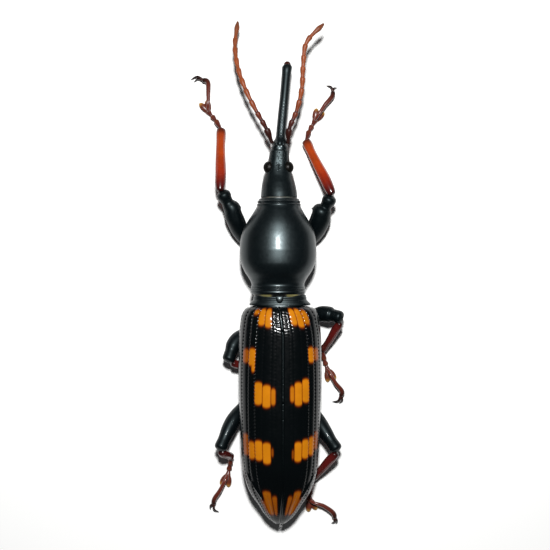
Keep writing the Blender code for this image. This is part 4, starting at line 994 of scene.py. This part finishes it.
leg = {
    "jointGap": 0.3, "coxaRadius": 1.02, "coxaReach": 1.45,
    "coxaShape": (
        (0.0, 0.35), (0.05, 0.50), (0.18, 0.84), (0.38, 1.00), (0.56, 0.88), (0.74, 0.58), (1.00, 0.45),
    ),
    "femurRadius": {"front": 1.18, "middle": 1.02, "hind": 0.98}, "femurRoot": ((0.0, 0.44), (0.10, 0.56)),
    "femurShape": {
        "front": ((0.28, 0.78), (0.42, 0.96), (0.54, 1.00), (0.66, 0.99), (0.765, 0.84)),
        "middle": ((0.28, 0.78), (0.42, 0.97), (0.54, 1.00), (0.66, 0.98)),
        "hind": ((0.28, 0.70), (0.42, 0.92), (0.54, 1.00), (0.66, 0.96)),
    },
    "innerBulge": (0.26, 0.73, 0.08),  # height, share of the length, width
    "kneeNotch": (0.16, 0.97, 0.035, 0.45),  # depth, share of the length, width along, width round
    "kneeRadius": {"front": 0.92, "middle": 0.85, "hind": 0.82}, "kneeCentre": 0.87,
    "kneeNecks": {
        "front": ((1.80, 0.83), (1.40, 0.88)), "middle": ((1.80, 0.98), (1.40, 0.99)),
        "hind": ((1.80, 0.96), (1.40, 0.98)),
    },
    "kneeShape": ((0.87, 1.00), (0.50, 0.95), (0.22, 0.72), (0.0, 0.34)),  # distance back, radius
    "toothHeight": {"left": 0.12, "right": 0.34}, "toothSize": 0.10, "toothAt": 0.68, "toothTurn": 0.15,
    "tibiaRadius": {"front": 0.69, "middle": 0.54, "hind": 0.58}, "tibiaRise": 0.12, "tibiaSink": 0.80,
    "tibiaAside": 0.20, "tibiaRidge": 0.018, "tibiaWave": 0.04,
    "tibiaShape": (
        (0.0, 0.62), (0.06, 0.84), (0.13, 0.96), (0.24, 1.0), (0.40, 0.97), (0.60, 0.88), (0.80, 0.82),
        (0.93, 0.92), (1.0, 0.80),
    ),
    "spurs": ((-1, 0.28, 0.06), (1, 0.28, 0.06), (0.15, 0.42, 0.09)),  # side, length, radius
    "heelLeastZ": 0.62, "tarsusRadii": ((0.20, 0.36), (0.20, 0.37), (0.21, 0.39)), "tarsusFlatness": 0.92,
    "lobeHalfSizes": (0.90, 0.44, 0.30), "lobeSpread": math.radians(20), "lobeTurn": 0.7, "lobeReach": 0.78,
    "lobeZ": 0.25, "padHairs": 110, "padHairRing": (0.82, 0.38),
    "clawSegmentRadius": 0.29, "clawRoot": 0.25, "clawRootZ": 1.18, "clawRise": 0.30,
    "clawTurn": 0.30, "clawBow": 0.24, "clawLift": 0.16,
    "clawSegmentShape": (
        (0.0, 0.55), (0.12, 0.70), (0.25, 0.76), (0.50, 0.92), (0.80, 1.10), (0.94, 1.14), (1.0, 0.88),
    ),
    "clawShape": ((0.0, 0.19), (0.25, 0.17), (0.50, 0.135), (0.75, 0.085), (1.0, 0.02)),
    "clawTooth": (0.30, 0.22, 0.07),  # share of the claw, length, radius
}


def unit(vector):
    # the vector over its length
    vector = np.asarray(vector, float)
    return vector / np.linalg.norm(vector)


def legNames(name):
    # "front_left" as its pair, its side and the ending of its pieces' names
    pair, side = name.split("_")
    return pair, side, pair.capitalize() + side.capitalize()


def limbHairs(line, count, low, high, radius, length, lean, under=False, finish=1):
    # Hairs scattered on a limb between two shares of its length, leaning towards its end
    where = rng.uniform(low, high, count)
    centre, forward, sideways, up, _ = tubeFrame(line, where)
    lowest, highest = (math.pi * 1.1, math.pi * 1.9) if under else (0, full)
    turn = rng.uniform(lowest, highest, count)[:, None]
    out = sideways * np.cos(turn) + up * np.sin(turn)
    lengths = length * rng.uniform(0.6, 1.1, count)
    return bristles(centre + out * radius * 0.93, out + forward * lean, lengths, 0.012, 0.1, finish)


def makeCoxaAndFemur(name, joints):
    # Two tubes. The femur's radii are those of the club and, counted back from its end in knee radii, of the
    # knee. The notch under the knee is a hump. A front femur's tooth is height * e^-(distance / size), and the
    # bulge of its inner side is height * hump * cos of the angle from there.
    pair, side, label = legNames(name)
    hip, root, club, knee = (np.array(joints[key]) for key in ("hip", "root", "club", "knee"))
    out = unit(root - hip)
    share = endCrowded(50)
    line = (hip - out * leg["coxaRadius"], hip, hip + out * (leg["coxaReach"] + 0.12))
    radius = tableCurve(leg["coxaShape"])(share) * leg["coxaRadius"]
    coxa = tube(line, share, roundEnds(share, radius, 2.6, 0.25, 0.12), 56)
    buildPiece("coxa" + label, [patch(coxa)], [finishes["limb"]], ["coxa_" + name])

    thick, kneeRadius = leg["femurRadius"][pair] * joints["girth"], leg["kneeRadius"][pair]
    line = np.array((hip + out * (leg["coxaReach"] + leg["jointGap"] - 0.12), root, club, knee))
    chords = runningLength(line)[-1]
    table = list(leg["femurRoot"]) + [(at, part * thick) for at, part in leg["femurShape"][pair]]
    kneeRows = leg["kneeNecks"][pair] + leg["kneeShape"]
    table += [(1 - back * kneeRadius / chords, part * kneeRadius) for back, part in kneeRows]
    share = crowdedPlaces(0, 1, 150, (0.0, leg["toothAt"], 1.0), 0.05, 2.5)
    length = tubeFrame(line, share)[4]
    radius = roundEnds(share, tableCurve(table)(share), length, 0.22, 0.25)
    columns = 100
    femur = tube(line, share, radius, columns)
    angle = turns(columns)[None]
    depth, place, along, round_ = leg["kneeNotch"]
    relief = -depth * hump(share, place, along)[:, None] * hump(abs(angle - full * 0.75), 0, round_)
    if pair == "front":
        inner = 0.0 if side == "left" else math.pi
        turned = abs((angle - inner - leg["toothTurn"] + math.pi) % full - math.pi) * thick
        distance = np.hypot((share - leg["toothAt"])[:, None] * length, turned)
        relief = relief + leg["toothHeight"][side] * np.exp(-distance / leg["toothSize"])
        height, place, width = leg["innerBulge"]
        relief = relief + height * hump(share, place, width)[:, None] * np.cos(angle - inner)
    femur = femur + outward(femur) * relief[:, :, None]
    hairs = limbHairs(line, 46, 0.2, 0.86, thick * 0.90, 0.14, 1.6)
    buildPiece("femur" + label, [patch(femur), hairs], [finishes["limb"], finishes["hair"]],
               ["femur_" + name])


def makeTibia(name, joints):
    # A tube whose relief is ridge * cos 7a + wave * sin(2.2 pi s) * cos a on the way, with s its share of the
    # length. Spurs and hairs stand at its end. Its upper end is sunk into the knee.
    pair, side, label = legNames(name)
    club, knee, ankle, toe = (np.array(joints[key]) for key in ("club", "knee", "ankle", "toe"))
    down = unit(ankle - knee)
    kneeRadius, thick = leg["kneeRadius"][pair], leg["tibiaRadius"][pair]
    away = kneeRadius + leg["jointGap"] - np.dot(unit(knee - club) * leg["kneeCentre"] * kneeRadius, down)
    upper = knee + down * (away - leg["tibiaSink"])
    if pair == "front":
        upper[0] += leg["tibiaAside"] * (1 if side == "left" else -1)
    line = (upper, (upper + ankle) / 2 + (0, 0, leg["tibiaRise"]), ankle)
    share = endCrowded(110)
    length = tubeFrame(line, share)[4]
    radius = tableCurve(leg["tibiaShape"])(share) * thick
    shin = tube(line, share, roundEnds(share, radius, length, 0.2, 0.22), 64)
    angle = turns(64)[None]
    run = (smoothStep(share, 0.12, 0.3) * (1 - smoothStep(share, 0.86, 0.96)))[:, None]
    relief = leg["tibiaRidge"] * np.cos(7 * angle) * run
    relief = relief + leg["tibiaWave"] * np.sin(share * 2.2 * math.pi)[:, None] * np.cos(angle) * run
    parts = [patch(shin + outward(shin) * relief[:, :, None], share[:, None])]
    ahead = unit((toe - ankle) * (1, 1, 0))
    across = unit(np.cross(down, (0, 0, 1)))
    under = unit(np.cross(down, across))
    under = under * -np.sign(under[2] + 1e-6)
    spurShare = endCrowded(18)
    for turn, size, wide in leg["spurs"]:
        foot = ankle - down * 0.12 + (across * turn * 0.42 + under * 0.30) * thick
        tip = foot + unit(down + across * turn * 0.25 + ahead * 0.3) * size
        tip[2] = max(tip[2], 0.25)
        spurRadius = roundEnds(spurShare, wide * (1 - 0.85 * spurShare), size, 0.04, 0.03)
        spur = tube((foot, (foot + tip) / 2 + across * 0.03, tip), spurShare, spurRadius, 12)
        parts.append(patch(spur, 1.0))
    parts.append(limbHairs(line, 80, 0.5, 0.99, thick * 0.9, 0.18, 1.6, under=True))
    parts.append(limbHairs(line, 40, 0.15, 0.97, thick * 0.9, 0.11, 1.9))
    finish, slotName = ("redOrange", "leg_red_orange") if pair == "front" else ("darkRed", "leg_dark_red")
    buildPiece("tibia" + label, parts, [finishes[finish], finishes["hair"]], ["tibia_" + name])


def makeFoot(name, joints):
    # Three cones seated in one another, two oval pads cut level with the floor, a bent last segment and two
    # claws, each a tube through its base, a bowed and lifted middle and its tip.
    pair, side, label = legNames(name)
    knee, ankle, toe, hook = (np.array(joints[key]) for key in ("knee", "ankle", "toe", "hook"))
    down = unit(ankle - knee)
    ahead = unit((toe - ankle) * (1, 1, 0))
    heel = ankle + (down + ahead) * leg["jointGap"]
    heel[2] = max(heel[2], leg["heelLeastZ"])
    middle = (heel + toe) / 2
    middle[2] = toe[2]
    start = ankle - down * 0.05
    parts = []
    share = endCrowded(40, 0.7)
    ends = ((start, heel * 0.30 + middle * 0.70), (heel * 0.50 + middle * 0.50, middle * 0.62 + toe * 0.38),
            (middle * 0.78 + toe * 0.22, toe + ahead * leg["jointGap"]))
    for (first, last), (thin, thick) in zip(ends, leg["tarsusRadii"]):
        size = np.linalg.norm(last - first)
        radius = roundEnds(share, thin + (thick - thin) * smoothStep(share, 0.2, 0.88), size, 0.10, 0.14)
        bead = tube((first, last), share, radius, 40, leg["tarsusFlatness"])
        bead[:, :, 2] = np.maximum(bead[:, :, 2], 0.0)
        parts.append(patch(bead, 0.30 + 0.25 * smoothStep(share, 0.3, 1)[:, None]))
    onward = ahead * (2 - leg["lobeTurn"]) + unit((hook - toe) * (1, 1, 0)) * leg["lobeTurn"]
    for turn in (-1, 1):
        heading = math.atan2(onward[1], onward[0]) + turn * leg["lobeSpread"]
        c, s = math.cos(heading), math.sin(heading)
        centre = toe + np.array((c, s, 0)) * leg["lobeReach"]
        centre[2] = leg["lobeZ"]
        pad = oval(centre, leg["lobeHalfSizes"], 60, 56, heading)
        pad[:, :, 2] = np.maximum(pad[:, :, 2], 0.0)
        forth = (pad[:, :, :2] - centre[:2]) @ (c, s) / leg["lobeHalfSizes"][0]
        parts.append(patch(pad, 0.42 + 0.50 * smoothStep(forth, 0.15, 0.95)))
        count, (long, wide) = leg["padHairs"], leg["padHairRing"]
        turnAt = rng.uniform(0, full, count)
        forth, aside = long * np.cos(turnAt), wide * np.sin(turnAt)
        level = rng.uniform(0.10, 0.26, count)
        at = np.stack([centre[0] + forth * c - aside * s, centre[1] + forth * s + aside * c, level], axis=-1)
        direction = at - centre
        direction[:, 2] = -0.10
        parts.append(bristles(at, direction, 0.12 * rng.uniform(0.6, 1.1, count), 0.011, 0.1))
    parts.append(limbHairs((start, middle, toe), 60, 0.1, 0.95, 0.27, 0.14, 1.3))
    buildPiece("foot" + label, parts, [finishes["foot"], finishes["hair"]], ["tarsus_" + name])

    ahead = unit((hook - toe) * (1, 1, 0))
    root = toe + ahead * leg["clawRoot"]
    root[2] = leg["clawRootZ"]
    rise = (root + hook) / 2 + abs(np.cross(ahead, (0, 0, 1))) * joints["bend"] + (0, 0, leg["clawRise"])
    end = hook + (np.mean(joints["claws"], axis=0) - hook) * leg["clawTurn"]
    line = (root - ahead * 0.30 - (0, 0, 0.42), root, rise, hook, end)
    share = endCrowded(80)
    radius = tableCurve(leg["clawSegmentShape"])(share) * leg["clawSegmentRadius"]
    segment = tube(line, share, roundEnds(share, radius, 4.0, 0.12, 0.2), 40)
    parts = [patch(segment, (0.25 * share + 0.3 * smoothStep(share, 0.72, 0.95))[:, None])]
    clawShare = endCrowded(60)
    for tip in np.array(joints["claws"]):
        base = (hook + end) / 2
        aside = np.cross(tip - base, (0, 0, 1)) * leg["clawBow"]
        aside *= np.sign(np.dot(aside, ahead))
        clawLine = (base, (base + tip) / 2 + aside + (0, 0, leg["clawLift"]), tip)
        radius = tableCurve(leg["clawShape"])(clawShare)
        claw = tube(clawLine, clawShare, roundEnds(clawShare, radius, 1.5, 0.1, 0.02), 26, 0.92)
        claw[:, :, 2] = np.maximum(claw[:, :, 2], 0.0)
        parts.append(patch(claw, 0.3 + 0.7 * clawShare[:, None]))
        at, size, wide = leg["clawTooth"]
        foot = tubeFrame(clawLine, np.array([at]))[0][0]
        tooth = tube((foot, foot - unit(aside) * size), clawShare, wide * (1 - 0.9 * clawShare), 14, 0.8)
        parts.append(patch(tooth, 0.6))
    parts.append(limbHairs(line, 30, 0.3, 0.98, 0.27, 0.16, 1.2))
    buildPiece("claws" + label, parts, [finishes["claw"], finishes["hair"]], ["claws_" + name])


for legName, joints in legJoints.items():
    makeCoxaAndFemur(legName, joints)
    makeTibia(legName, joints)
    makeFoot(legName, joints)
print("legs made")

studio = {
    "floorSize": 3.0, "floorColour": (0.97, 0.97, 0.96), "floorRoughness": 0.9, "floorSpecular": 0.1,
    "skyColour": (0.95, 0.97, 1.0), "skyStrength": 0.04,
    "lampPlace": (0.0, -44.0, 160.0), "lampSize": (12.0, 16.0), "lampPower": 0.36,
    "lampAim": (0.0, -2.0, 0.0), "cameraPlace": (0.5676, -3.999, 160.0), "fieldOnFloor": 73.47,
}


def addLamp():
    # A rectangular light that faces the aim
    light = bpy.data.lights.new("lamp", "AREA")
    light.shape = "RECTANGLE"
    light.size, light.size_y = (side * mm for side in studio["lampSize"])
    light.energy = studio["lampPower"]
    lamp = bpy.data.objects.new("lamp", light)
    bpy.context.scene.collection.objects.link(lamp)
    lamp.location = (np.array(studio["lampPlace"]) + partShift) * mm
    gaze = Vector(np.array(studio["lampAim"]) - studio["lampPlace"])
    lamp.rotation_euler = gaze.to_track_quat("-Z", "Y").to_euler()


def makeStudio():
    # A pale floor, a dim even sky, a lamp and a camera that looks straight down with the head at the top
    half = studio["floorSize"] / 2
    mesh = bpy.data.meshes.new("floor")
    corners = [(-half, -half, 0), (half, -half, 0), (half, half, 0), (-half, half, 0)]
    mesh.from_pydata(corners, [], [(0, 1, 2, 3)])
    floor = bpy.data.objects.new("floor", mesh)
    bpy.context.scene.collection.objects.link(floor)
    paper = bpy.data.materials.new("palePaper")
    paper.use_nodes = True
    shader = paper.node_tree.nodes["Principled BSDF"]
    shader.inputs["Base Color"].default_value = (*studio["floorColour"], 1)
    shader.inputs["Roughness"].default_value = studio["floorRoughness"]
    shader.inputs["Specular IOR Level"].default_value = studio["floorSpecular"]
    mesh.materials.append(paper)
    world = bpy.data.worlds.new("studio")
    bpy.context.scene.world = world
    world.use_nodes = True
    sky = world.node_tree.nodes["Background"]
    sky.inputs["Color"].default_value = (*studio["skyColour"], 1)
    sky.inputs["Strength"].default_value = studio["skyStrength"]
    addLamp()
    camera = bpy.data.objects.new("camera", bpy.data.cameras.new("camera"))
    bpy.context.scene.collection.objects.link(camera)
    camera.location = (np.array(studio["cameraPlace"]) + partShift) * mm
    camera.rotation_euler = (0, 0, math.pi)
    camera.data.sensor_width = 36
    camera.data.lens = 36 * studio["cameraPlace"][2] / studio["fieldOnFloor"]
    camera.data.clip_start, camera.data.clip_end = 0.01, 20
    bpy.context.scene.camera = camera
    bpy.context.scene.view_settings.view_transform = "Standard"


makeStudio()
print("studio made")
